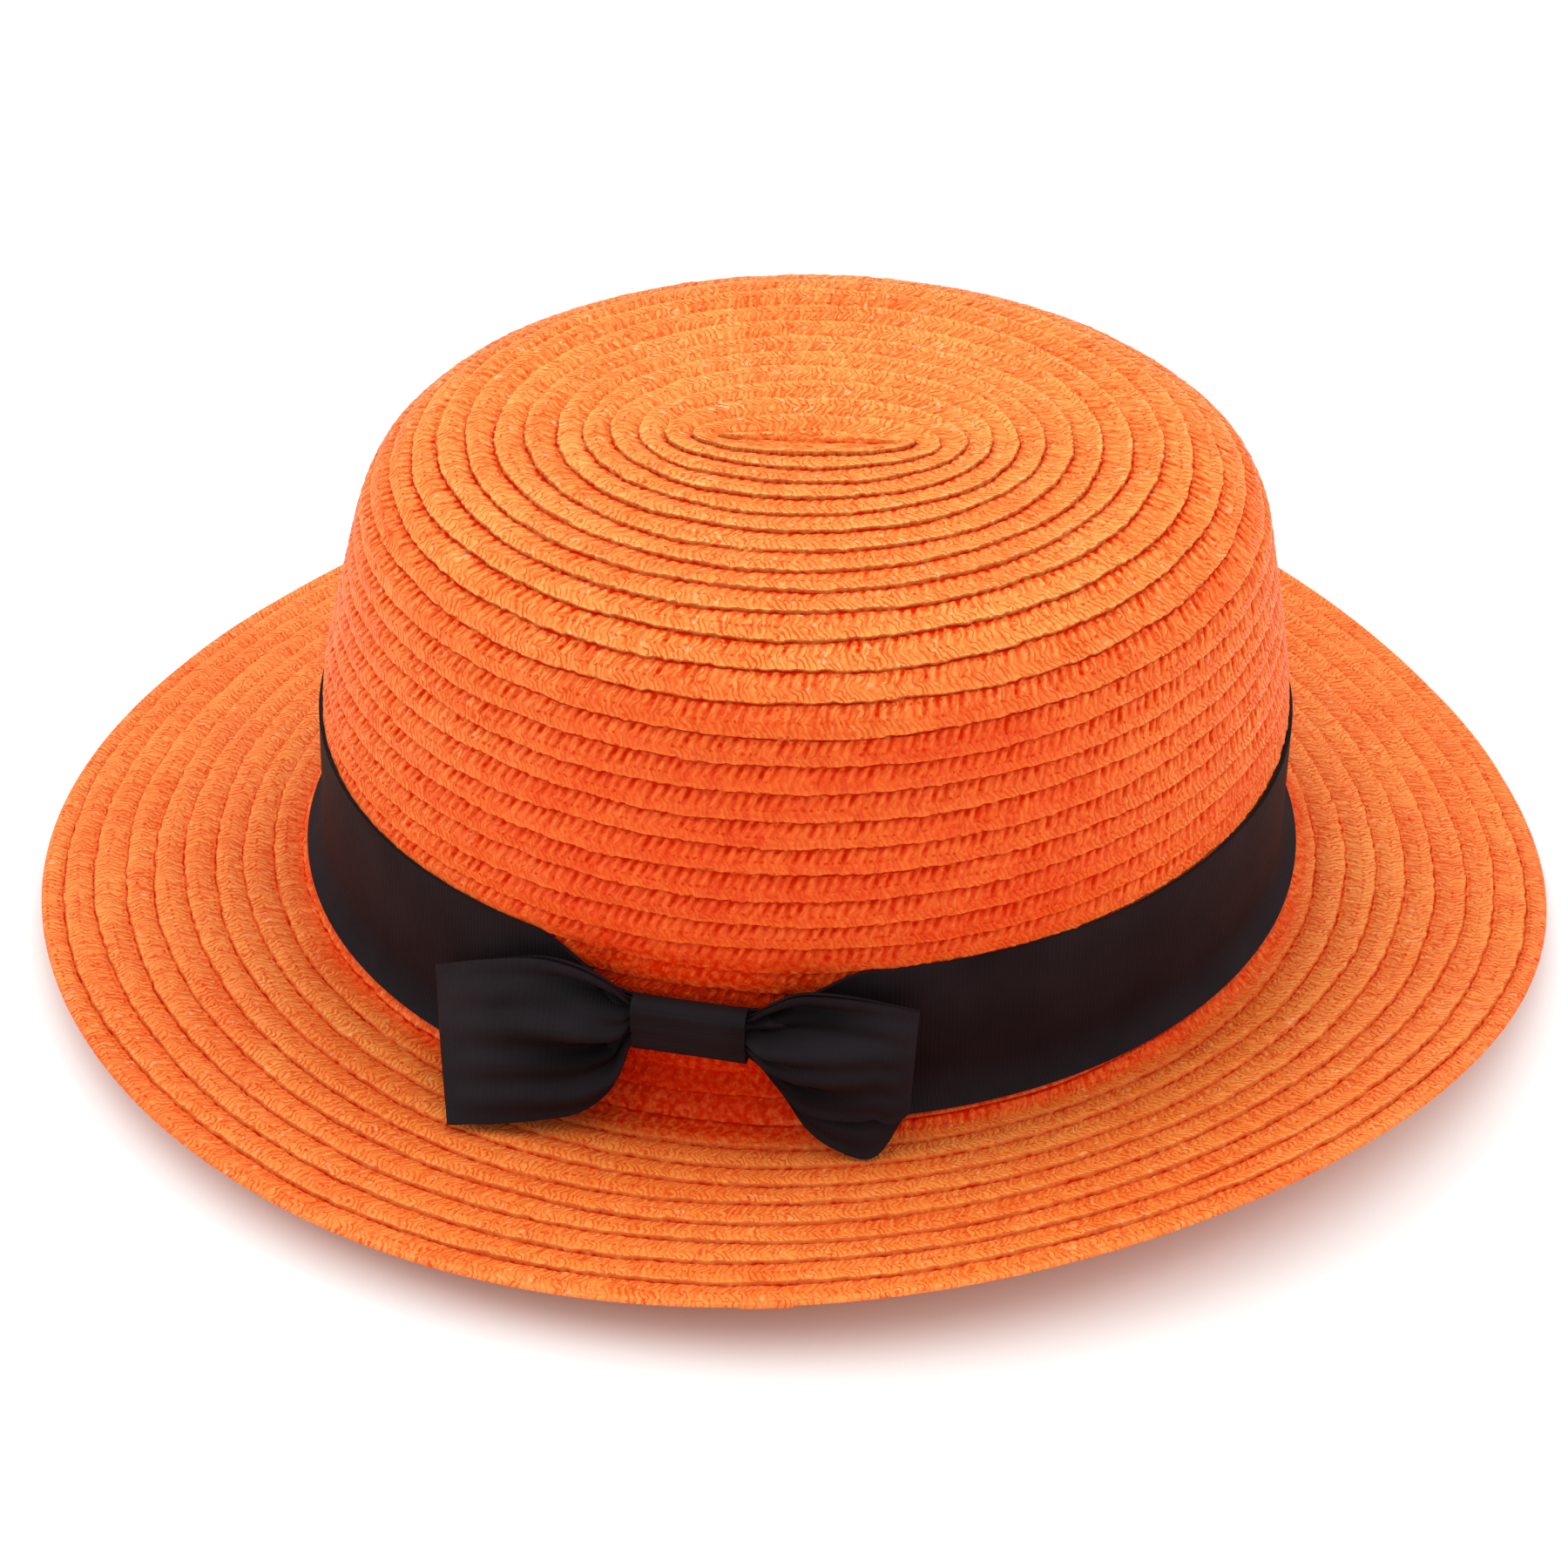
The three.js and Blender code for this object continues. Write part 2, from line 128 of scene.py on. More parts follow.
def loose_straw(row, angle, out):
    """A place off the straw's outer face, before the hat is set down."""
    row, angle, out = np.broadcast_arrays(*(np.asarray(a, float) for a in (row, angle, out)))
    crown = np.minimum(row, BASE_ROW)
    r = np.interp(crown, PROFILE_ROWS, PROFILE_RADII)
    z = np.interp(crown, PROFILE_ROWS, PROFILE_HEIGHTS)
    slope = np.radians(np.interp(crown, SLOPE_ROWS, SLOPES))
    # The brim bends out of the foot of the wall and then runs straight at its droop.
    along = np.maximum(row - BASE_ROW, 0) * ROW_WIDTHS[-1]
    bent = np.minimum(along, FOOT_BEND)
    start, droop = math.radians(SLOPES[-1]), np.radians(sum_waves(BRIM_DROOPS, angle))
    turn = (droop - start) / FOOT_BEND
    bend = start + turn * bent
    r = r + (np.sin(bend) - math.sin(start)) / turn + (along - bent) * np.cos(droop)
    z = z + (np.cos(bend) - math.cos(start)) / turn - (along - bent) * np.sin(droop)
    slope = np.where(row > BASE_ROW, bend, slope)
    r = np.maximum(r + out * np.sin(slope), 0)
    z = z + out * np.cos(slope)
    x = (r + np.interp(row, OVAL_ROWS, OVAL_LONGER)) * np.cos(angle)
    y = r * np.sin(angle)
    twist, nod = np.radians(np.interp(row, OVAL_ROWS, OVAL_TURNED)), math.radians(NOD)
    x, y = x * np.cos(twist) - y * np.sin(twist), x * np.sin(twist) + y * np.cos(twist)
    x, y = x + np.interp(row, OVAL_ROWS, OVAL_MOVED), y + CROWN_LEAN * z / CROWN_HEIGHT
    return np.stack([x, y * math.cos(nod) - z * math.sin(nod), y * math.sin(nod) + z * math.cos(nod)], -1)


# The hat stands on the lowest part of its brim, pressed a little flat there, and is centred on its edge.
_round = np.radians(np.arange(0, 360, 0.5))
_parts = BASE_ROW - 2 + np.linspace(0, 1, 65)[:, None] * (edge_row(_round) - BASE_ROW + 2)
FLOOR = loose_straw(_parts, _round[None], underside(_parts, _round[None]))[..., 2].min() + PRESS
_edge = np.concatenate([loose_straw(edge_row(_round), _round, out) for out in (0, -EDGE)])
MIDDLE = np.array([*(_edge.min(0) + _edge.max(0))[:2] / 2, 0])


def straw(row, angle, out=0.0):
    """A place off the straw's outer face on the standing hat, pressed flat where it would lie too low."""
    point = loose_straw(row, angle, out)
    point[..., 2] = np.maximum(point[..., 2] - FLOOR, np.maximum(out - underside(row, angle), 0))
    return point - MIDDLE


def turn_angle(turn):
    return np.radians(SEAM - 360 * turn)


def from_knot(degrees):
    """How many degrees round the hat a place lies from the knot."""
    return np.abs((degrees - KNOT_ANGLE + 180) % 360 - 180)


# ---------------------------------------------------------------- the braid's run


def chance(number, seed):
    """A fixed number from 0 to 1 for each whole number. Each use has a seed of its own."""
    return np.modf(np.abs(np.sin(number * 12.9898 + seed * 78.233) * 43758.5453))[0]


def ripple(x, seed):
    """Smooth noise from 0 to 1 along a line."""
    whole = np.floor(x)
    part = x - whole
    part = part * part * (3 - 2 * part)
    return chance(whole, seed) * (1 - part) + chance(whole + 1, seed) * part


def uneven(length, step, seed, most):
    """Unevenness along the braid that changes about once a step, from minus half its most to plus half."""
    return most * (ripple(length / step, seed) - 0.5)


# How far round each row a place lies, measured along the straw, and how long the rows are.
RUN_ROWS, RUN_STEPS = 160, 1440
_rows = np.linspace(0.25, 40, RUN_ROWS)
_turns = np.linspace(0, 1, RUN_STEPS + 1)
_ring = loose_straw(_rows[:, None], turn_angle(_turns)[None], 0)
_arc = np.cumsum(np.linalg.norm(np.diff(_ring, axis=1), axis=2), axis=1)
_arc = np.concatenate([np.zeros((RUN_ROWS, 1)), _arc], 1)
ROW_LENGTHS = _arc[:, -1]
ROW_RUN = np.concatenate([[0], np.cumsum((ROW_LENGTHS[1:] + ROW_LENGTHS[:-1]) / 2 * np.diff(_rows))])
ARC_SHARES = _arc / ROW_LENGTHS[:, None]


def arc_share(row, turn):
    """The share of a row's length from the seam to a place at that turn."""
    i = np.clip((row - _rows[0]) / (_rows[1] - _rows[0]), 0, RUN_ROWS - 1.001)
    j = np.clip(turn * RUN_STEPS, 0, RUN_STEPS - 0.001)
    a, b = i.astype(int), j.astype(int)
    s, t = i - a, j - b
    low = ARC_SHARES[a, b] * (1 - t) + ARC_SHARES[a, b + 1] * t
    high = ARC_SHARES[a + 1, b] * (1 - t) + ARC_SHARES[a + 1, b + 1] * t
    return low * (1 - s) + high * s


def even_turns(row, count):
    """Turns round the hat that divide a row into even lengths."""
    i = int(np.searchsorted(_rows, row))
    return np.interp(np.linspace(0, 1, count + 1), ARC_SHARES[i], _turns)


def wobble(row, turn):
    """How much the sewn rows stray, in rows."""
    a = 2 * math.pi * turn
    return (
        0.030 * np.sin(5 * a + 2.1 * row)
        + 0.022 * np.sin(11 * a - 3.7 * row + 1)
        + 0.014 * np.sin(23 * a + 5.3 * row + 2)
    )


# ---------------------------------------------------------------- the braid's relief
# Across a row, 0 is its upper edge, which lies under the row above, and 1 is its lip.

ROW_FOOT, ROW_RISE = -0.28, 0.48  # height of a row at its upper edge, and how far it rises to its lip
GROOVE_LEAST, GROOVE_MORE = 0.10, 0.26  # depth of the groove under a lip, and what its breaks add
SLOT_PITCH, SLOT_LEAN, SLOT_DEPTH = 2.0, 2.2, 0.42
PIT_PITCH, PIT_DEPTH = 4.3, 0.30
PIT_PLACE, PIT_LONG, PIT_TALL = 0.66, 0.42, 0.40
UPPER_STRANDS, LOWER_STRANDS = 0.05, 0.045  # height of the rounded strands
FLATTER = 0.65  # how much of the relief the tip loses at its sides and behind
TIP_ENDS = (14.0, 11.0)  # rows over which the look of the tip gives way to that of the wall
SLIT_DEPTH = 1.1
# Rows, and the value at each of them.
STRAND_STRENGTHS = ((0, 8, 12, 15, 29, 31), (0.34, 0.46, 0.8, 1.1, 1.1, 0.42))
LIP_SHADES = ((12, 15, 22, 29, 31), (0.0, 0.30, 0.5, 0.5, 0.0))
# How much painted light makes the straw paler and yellower, by row.
PAINTED_LIGHT_BY_ROW = ((0, 11.5, 14.5, 29, 31, 42), (1.0, 0.9, 0.05, 0.0, 0.5, 0.6))


def slots(length, across):
    """Slanted slots where the strands turn under the row above, each of its own place, reach and depth, and
    how many slots have passed."""
    slanted = (length - SLOT_LEAN * across) / SLOT_PITCH
    cell = np.floor(slanted)
    aside = np.abs(slanted - cell - 0.5 + 0.22 * (chance(cell, 3) - 0.5)) * SLOT_PITCH
    reach = 0.22 + 0.20 * chance(cell, 4)
    slot = smooth(0.70, 0.16, aside) * smooth(0.0, 0.05, across) * (1 - smooth(reach, reach + 0.16, across))
    return slot * (0.3 + 0.7 * chance(cell, 2)), slanted


def pits(length, across):
    """Small pits in the middle of the row, where the strands cross."""
    spot = length / PIT_PITCH
    cell = np.floor(spot)
    aside = (spot - cell - 0.5 + 0.5 * (chance(cell, 5) - 0.5)) * PIT_PITCH
    rise = (across - PIT_PLACE - 0.10 * (chance(cell, 6) - 0.5)) * 5.3
    return np.exp(-((aside / PIT_LONG) ** 2) - (rise / PIT_TALL) ** 2) * (0.25 + 0.75 * chance(cell, 7))


def relief(row, run, turn, detail):
    """How far the braid's outer face stands off the even one, and the values that its material reads. The run
    counts rows along the wound braid, with the sewer's wobble left out."""
    strip = np.floor(run)
    across = run - strip
    length = np.interp(strip + arc_share(row, turn), _rows, ROW_RUN)
    facing = turn_angle(turn)
    on_tip = smooth(*TIP_ENDS, row)
    flat = FLATTER * smooth(0.45, -0.35, -np.sin(facing)) * on_tip
    # Each row lies over the next one: it rises to a lip at its outer edge, then drops.
    step = ROW_FOOT + ROW_RISE * smooth(0.0, 0.55, across) * (1 - smooth(0.95, 1.0, across))
    groove = smooth(0.08, 0.0, across) * (1 - flat)
    broken = 0.45 + 0.55 * ripple(length / 2.2, 1)
    step = step * (1 - 0.5 * flat) - groove * (GROOVE_LEAST + GROOVE_MORE * broken)
    slot, slanted = slots(length, across)
    pit = pits(length, across)
    # Rounded strands, leaning one way above the middle and the other way below it.
    upper = np.cos(2 * math.pi * slanted) * smooth(0.75, 0.45, across)
    lower = np.cos(2 * math.pi * (length + SLOT_LEAN * across) / SLOT_PITCH) * smooth(0.45, 0.75, across)
    strands = UPPER_STRANDS * upper + LOWER_STRANDS * lower
    strength = np.interp(row, *STRAND_STRENGTHS) * detail
    height = step + strength * (strands - SLOT_DEPTH * slot - PIT_DEPTH * pit)
    # The straw is uneven from strand to strand, over a few strands and, most of all, at its lip.
    height = height + uneven(length, 1.3, 8, 0.12 * detail) + uneven(length, 9.0, 9, 0.16)
    height = height + uneven(length, 1.1, 13, 0.24 * detail) * smooth(0.7, 0.95, across)

    # Painted shade: in the groove under each lip, broken along it, on the upper edge of the rows of the wall
    # and of the tip's front, and in the slots and pits.
    under_lip = smooth(0.26, 0.0, across) * np.interp(row, *LIP_SHADES)
    under_lip = under_lip + 0.62 * (1 - flat / FLATTER) * smooth(0.20, 0.02, across) * on_tip * detail
    shade = groove * (0.25 + 0.75 * broken) + under_lip + strength * (slot + 0.9 * pit)
    # Painted shade lies on the rows from just above the ribbon to the foot of the wall, deeper round the bow,
    # and in a band where the wall turns into the brim.
    by_bow = smooth(24.0, 9.0, from_knot(np.degrees(facing)))
    shade = np.maximum(shade, (0.12 + 0.56 * by_bow) * smooth(21.6, 23.2, row) * smooth(31.4, 30.4, row))
    shade = np.maximum(shade, 0.45 * smooth(29.2, 29.6, row) * smooth(30.6, 30.3, row))
    shade = np.clip(shade, 0, 1)

    # The tone varies at random along the braid, and holds painted light and shade: a painted highlight on
    # each lip, stronger at the tip's sides and back, and on the strands' tops, painted shade in the slots and
    # pits and on the lower rows of the wall, and the brim made paler.
    tone = 0.45 + uneven(length, 1.1, 10, 0.40) + uneven(length, 11.0, 11, 0.45)
    tone = tone + (0.60 + 0.5 * flat) * smooth(0.78, 0.95, across)
    tone = tone - 0.35 * strength * (slot + pit) + 0.25 * strength * upper
    tone = tone - 0.22 * smooth(16, 23, row) * smooth(31, 30, row) + 0.24 * smooth(30.5, 32, row)

    # Painted light: what faces up, and somewhat the wall's sides, is painted paler and yellower, with some
    # random unevenness along the braid.
    sides = 0.45 * smooth(0.35, 0.95, np.abs(np.cos(facing))) * smooth(12, 15, row) * smooth(31, 29, row)
    faded = np.interp(row, *PAINTED_LIGHT_BY_ROW) + sides + uneven(length, 17.0, 12, 0.15)

    # The braid starts at the slit in the tip, which is sunk and painted in shade.
    height = height * smooth(0.0, 0.3, row) - SLIT_DEPTH * smooth(0.16, 0.0, row)
    shade = np.maximum(shade, smooth(0.14, 0.0, row))
    return height, {"shade": shade, "tone": tone, "faded": faded, "along": length, "across": across}


# ---------------------------------------------------------------- meshes

MERGED_WITHIN = 2e-6  # metres
STRAW_SHARP, RIBBON_SHARP = 50, 60  # degrees over which an edge is shaded sharp


def merge_neighbours(bm):
    """Merges corners that lie together. Two faces that come to lie on each other, as the slit's walls do, and
    a face that folds flat are left out first, because a merge would keep one side of them."""
    merged = bmesh.ops.find_doubles(bm, verts=bm.verts, dist=MERGED_WITHIN)["targetmap"]
    lying, unwanted = {}, []
    for face in bm.faces:
        corners = [merged.get(vert, vert) for vert in face.verts]
        if corners[0] == corners[2] or corners[1] == corners[3]:
            unwanted.append(face)
        elif len(set(corners)) > 2:
            lying.setdefault(frozenset(corners), []).append(face)
    for faces in lying.values():
        unwanted += faces[: len(faces) // 2 * 2]
    bmesh.ops.delete(bm, geom=unwanted, context="FACES_ONLY")
    bmesh.ops.weld_verts(bm, targetmap=merged)
    bmesh.ops.delete(bm, geom=[edge for edge in bm.edges if not edge.link_faces], context="EDGES")
    bmesh.ops.delete(bm, geom=[vert for vert in bm.verts if not vert.link_faces], context="VERTS")
    # A small triangle can stay open where a cut meets the seam.
    bmesh.ops.holes_fill(bm, edges=[edge for edge in bm.edges if edge.is_boundary], sides=4)


def grid_mesh(columns, lines, place):
    """A grid made into a closed skin: place() gives a position in millimetres for every column and line, and
    values for its named attributes. Neighbours that come to lie together are merged."""
    bm = bmesh.new()
    bmesh.ops.create_grid(bm, x_segments=columns, y_segments=lines, size=1.0)
    mesh = bpy.data.meshes.new("grid")
    bm.to_mesh(mesh)
    flat = np.empty(len(mesh.vertices) * 3)
    mesh.vertices.foreach_get("co", flat)
    flat = flat.reshape(-1, 3)
    column = np.rint((flat[:, 0] + 1) / 2 * columns).astype(int)
    line = np.rint((flat[:, 1] + 1) / 2 * lines).astype(int)
    points, values = place(column, line)
    mesh.vertices.foreach_set("co", (points / 1000).ravel())
    for name, value in values.items():
        mesh.attributes.new(name, "FLOAT", "POINT").data.foreach_set("value", np.asarray(value, np.float32))
    bm.clear()
    bm.from_mesh(mesh)
    merge_neighbours(bm)
    bmesh.ops.recalc_face_normals(bm, faces=bm.faces)
    if bm.calc_volume(signed=True) < 0:
        bmesh.ops.reverse_faces(bm, faces=bm.faces)
    bm.to_mesh(mesh)
    bm.free()
    return mesh


def piece(name, mesh, material, sharp):
    """Shows a mesh as a piece of the hat, shaded smooth but for its sharp edges."""
    mesh.name = name
    mesh.materials.clear()
    mesh.materials.append(material)
    mesh.shade_smooth()
    mesh.set_sharp_from_angle(angle=math.radians(sharp))
    obj = bpy.data.objects.new(name, mesh)
    bpy.context.scene.collection.objects.link(obj)
    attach(obj, "root")
    return obj


# ---------------------------------------------------------------- lengths of braid

OUTER_SAMPLES = (0.0, 0.075, 0.20, 0.38, 0.58, 0.78, 0.955)  # where across each row the outside has a line
INNER_SAMPLES = (0.12, 0.88)  # and where its back has one
RIM_SAMPLES = (0.25, 0.5, 0.75)  # and how deep in the straw a rounded edge has one
RIM_BULGE = 0.7
OUTSIDE, RIM, BACK = 0, 1, 2
NUDGE = 1e-6  # rows by which a line is kept out of the row before it
STRAND_TURNS, STRAND_STRAY = 430, 0.07  # turns of the outermost strand in a row, and rows by which they stray
KNOT_NEAR = 0.06  # turns on each side of the knot where the crown's foot is drawn finely
FOOT_COLUMNS, HIDDEN_COLUMNS = 1300, 160  # columns in a full turn there, and in all of the hidden rest


def braid_lines(first, last, rounded):
    """The lines of a length of braid, over its outside, round its rim and along its back to where they began:
    the row that each lies on, which of the three it is on, and how deep in the straw it lies."""
    strips = range(int(math.floor(first)) - 1, int(math.ceil(last)))
    start, end = strips[0] - 0.5, strips[-1] + 1.5
    outer = [strip + sample for strip in strips for sample in OUTER_SAMPLES] + [end]
    inner = [strip + sample for strip in reversed(strips) for sample in reversed(INNER_SAMPLES)]
    inner = [end, *inner, start]
    rim = RIM_SAMPLES if rounded else ()
    steps = np.array([*outer, *[end] * len(rim), *inner, outer[0]])
    kinds = np.array([OUTSIDE] * len(outer) + [RIM] * len(rim) + [BACK] * len(inner) + [OUTSIDE])
    depths = np.array([0.0] * len(outer) + [*rim] + [1.0] * len(inner) + [0.0])
    return steps, kinds, depths


def braid_mesh(first, last, turns, detail=None, rounded=False):
    """A closed length of the hat between two rows: the braid outside, its back inside."""
    turns = np.asarray(turns)
    angles = turn_angle(turns)
    low = np.full(len(turns), float(first))
    high = last(angles) if callable(last) else np.full(len(turns), float(last))
    detail = np.ones(len(turns)) if detail is None else detail
    steps, kinds, depths = braid_lines(first, high.max(), rounded)

    def place(column, line):
        turn, angle, step, kind, depth = turns[column], angles[column], steps[line], kinds[line], depths[line]
        even = step + NUDGE + turn
        # The turns of the outermost strand make each lip ragged, on both lines that lie next to it.
        lip = np.rint(step + 0.02)
        at_lip = np.abs(step + 0.02 - lip) < 0.05
        ragged = np.where(at_lip, ripple((turn + lip) * STRAND_TURNS, 14) - 0.5, 0)
        sewn = even - wobble(even, turn) + STRAND_STRAY * ragged * detail[column]
        row = np.clip(sewn, low[column], high[column])
        # Past an end all lines come to lie on one curve, so that they merge and the length is closed.
        run = np.where(row == sewn, even - turn, row + wobble(row, turn) - turn)
        height, values = relief(row, run, turn, detail[column])
        across = values["across"]
        if callable(last):
            # The last row tapers off under the edge, so that the edge runs evenly, and its painted shade runs
            # out.
            taper = smooth(0.6, 0.15, high[column] - row)
            height = height * (1 - taper) + 0.12 * taper
            values["shade"] = values["shade"] * (1 - taper)
        back = underside(row, angle)
        stepped = 0.34 * smooth(0.5, 1.0, across) - 0.12 * smooth(0.25, 0.0, across)
        back = back + np.where(row > 0, stepped, 0)
        on_rim = height + (back - height) * depth
        out = np.where(kind == OUTSIDE, height, np.where(kind == BACK, back, on_rim))
        bulge = RIM_BULGE * np.sin(math.pi * depth) / ROW_WIDTHS[-1]
        row = np.where(kind == RIM, row + bulge, row)
        # Painted shade on the back of the straw, deeper near each row's lip, and on the rounded rim.
        inside = 0.35 * smooth(0.75, 1.0, across)
        values["shade"] = np.where(kind == BACK, inside, np.where(kind == RIM, 0.25, values["shade"]))
        return straw(row, angle, out), values

    return grid_mesh(len(turns) - 1, len(steps) - 1, place)


def foot_turns():
    """Turns for the foot of the wall, which the ribbon hides except round the knot: close together there, and
    wide apart behind the ribbon. The detail of the relief runs out with them."""
    after, before = KNOT_TURN + KNOT_NEAR, KNOT_NEAR - KNOT_TURN
    near = np.linspace(0, after, int(after * FOOT_COLUMNS))
    back = np.linspace(1 - before, 1, int(before * FOOT_COLUMNS))
    hidden = np.linspace(near[-1], back[0], HIDDEN_COLUMNS)[1:-1]
    turns = np.concatenate([near, hidden, back])
    away = np.abs((turns - KNOT_TURN + 0.5) % 1 - 0.5)
    # The detail is whole up to 0.052 turns from the knot and gone at 0.062.
    return turns, np.clip(1.2 - 20 * np.maximum(away - 0.05, 0) / 0.2, 0, 1)


# ---------------------------------------------------------------- the ribbon and the bow

BAND_LIFT = 0.3  # gap between the ribbon and the straw
BAND_LINES = 30
BAND_RUN, LOOP_RUN = 580, 45  # lengths over which the ribs are spaced, round the crown and out along a loop
LAYER_GAP = 0.3  # least gap between a loop's two layers
WING_ROOT = (1.0, 10.4, 9.3, 2.3)  # where it starts and ends inside the knot, its height and its depth
WING_ROOTS = 3  # how many sections it has there
WING_STEPS, WING_CROSSINGS = 48, 40
FOLD_STARTS, FOLD_NEARS = 0.985, 0.996  # where along the loop its end begins to turn, and nears its fold
WING_LOOK = 0.004  # share of the loop over which its direction is taken
GATHERS = 4.5
GATHER_PARTS = (0.0, 0.28, 0.36, 0.43, 0.57, 0.71, 0.86, 1.0)  # from the knot to the loop's end
GATHER_DEPTHS = (0.65, 0.8, 1.3, 1.5, 1.05, 0.7, 0.35, 0.0)
# Upper edge, lower edge, depth of the loop and how far down the front layer reaches.
WING_LEFT = (
    ((-33.7, -84.1, 33.9), (-34.5, -85.6, 11.1), 4.0, 1.0),
    ((-38.8, -81.8, 35.5), (-39.7, -87.8, 7.8), 5.4, 1.0),
    ((-45.9, -78.4, 35.2), (-46.7, -89.0, 6.8), 6.0, 1.0),
    ((-56.4, -71.9, 29.3), (-56.6, -89.5, 5.8), 4.6, 1.0),
    ((-66.8, -63.9, 21.1), (-63.5, -89.4, 5.6), 2.3, 1.0),
)
WING_RIGHT = (
    ((-6.0, -89.6, 33.7), (-4.1, -90.5, 13.7), 4.0, 0.90),
    ((-1.1, -89.6, 36.1), (0.4, -93.5, 7.9), 5.0, 0.84),
    ((5.9, -89.6, 35.8), (5.5, -96.4, 5.7), 5.0, 0.78),
    ((12.7, -89.0, 34.0), (12.1, -97.4, 4.7), 4.0, 0.72),
    ((19.8, -88.2, 31.3), (18.3, -93.4, 12.2), 2.3, 1.0),
)


def knot_place(along, outward, up):
    """A place in the knot's own directions, in millimetres."""
    angle = math.radians(KNOT_ANGLE)
    centre = straw(KNOT_ROW, angle, KNOT_OUT)
    away = straw(KNOT_ROW, angle, KNOT_OUT + 1) - centre
    side = np.cross([0, 0, 1], away)
    side = side / np.linalg.norm(side)
    top = np.cross(away, side)
    top = top / np.linalg.norm(top)
    along, outward, up = np.broadcast_arrays(along, outward, up)
    return centre + along[..., None] * side + outward[..., None] * away + up[..., None] * top


def curve_through(points, part):
    """A smooth curve through points, from part 0 at the first to part 1 at the last."""
    points = np.asarray(points, float)
    ends = np.array([2 * points[0] - points[1], *points, 2 * points[-1] - points[-2]])
    knots = np.concatenate([[0], np.cumsum(np.sqrt(np.linalg.norm(np.diff(ends, axis=0), axis=1)))])
    slopes = []
    for i in range(1, len(ends) - 1):
        before = (ends[i] - ends[i - 1]) / (knots[i] - knots[i - 1])
        after = (ends[i + 1] - ends[i]) / (knots[i + 1] - knots[i])
        across = (ends[i + 1] - ends[i - 1]) / (knots[i + 1] - knots[i - 1])
        slopes.append(before - across + after)
    slopes = np.array(slopes)
    at = np.clip(np.asarray(part, float), 0, 1) * (len(points) - 1)
    i = np.minimum(at.astype(int), len(points) - 2)
    t = (at - i)[..., None]
    span = (knots[i + 2] - knots[i + 1])[..., None]
    h00, h10 = 2 * t**3 - 3 * t**2 + 1, t**3 - 2 * t**2 + t
    h01, h11 = -2 * t**3 + 3 * t**2, t**3 - t**2
    return h00 * points[i] + h10 * span * slopes[i] + h01 * points[i + 1] + h11 * span * slopes[i + 1]


def gathers(part, crossing):
    """Small pleats that take up the ribbon's width where the knot pinches it, and run out along the loop."""
    depth = np.interp(part, GATHER_PARTS, GATHER_DEPTHS)
    return depth * np.cos(2 * math.pi * GATHERS * (crossing + 0.03 * part))


def pleat(crossing, at, wide, high):
    """A ridge along the loop, or a hollow if its height is below 0."""
    return high * np.exp(-(((crossing - at) / wide) ** 2))


def left_pleats(part, crossing, layer):
    """A ridge from the knot to the middle of the loop, with a valley over it and a hollow under it."""
    near = smooth(0.22, 0.40, part) * smooth(0.88, 0.50, part)
    ridge = pleat(crossing + 0.14 * (1 - part), 0.40, 0.09, 2.3)
    hollow = pleat(crossing, 0.60, 0.12, -3.4)
    valley = pleat(crossing, 0.16, 0.10, -2.4)
    return np.where(layer > 0, near * (ridge + hollow + valley), 0.15 * near * ridge)


def right_pleats(part, crossing, layer):
    """A hollow at the top, a swelling under it and a fold along the lower edge."""
    near = smooth(0.22, 0.40, part) * smooth(0.95, 0.60, part)
    hollow = pleat(crossing, 0.20, 0.12, -2.8)
    ridge = pleat(crossing, 0.52, 0.13, 1.8)
    fold = pleat(crossing, 0.84, 0.09, -2.2)
    return np.where(layer > 0, near * (hollow + ridge + fold), 0.0)


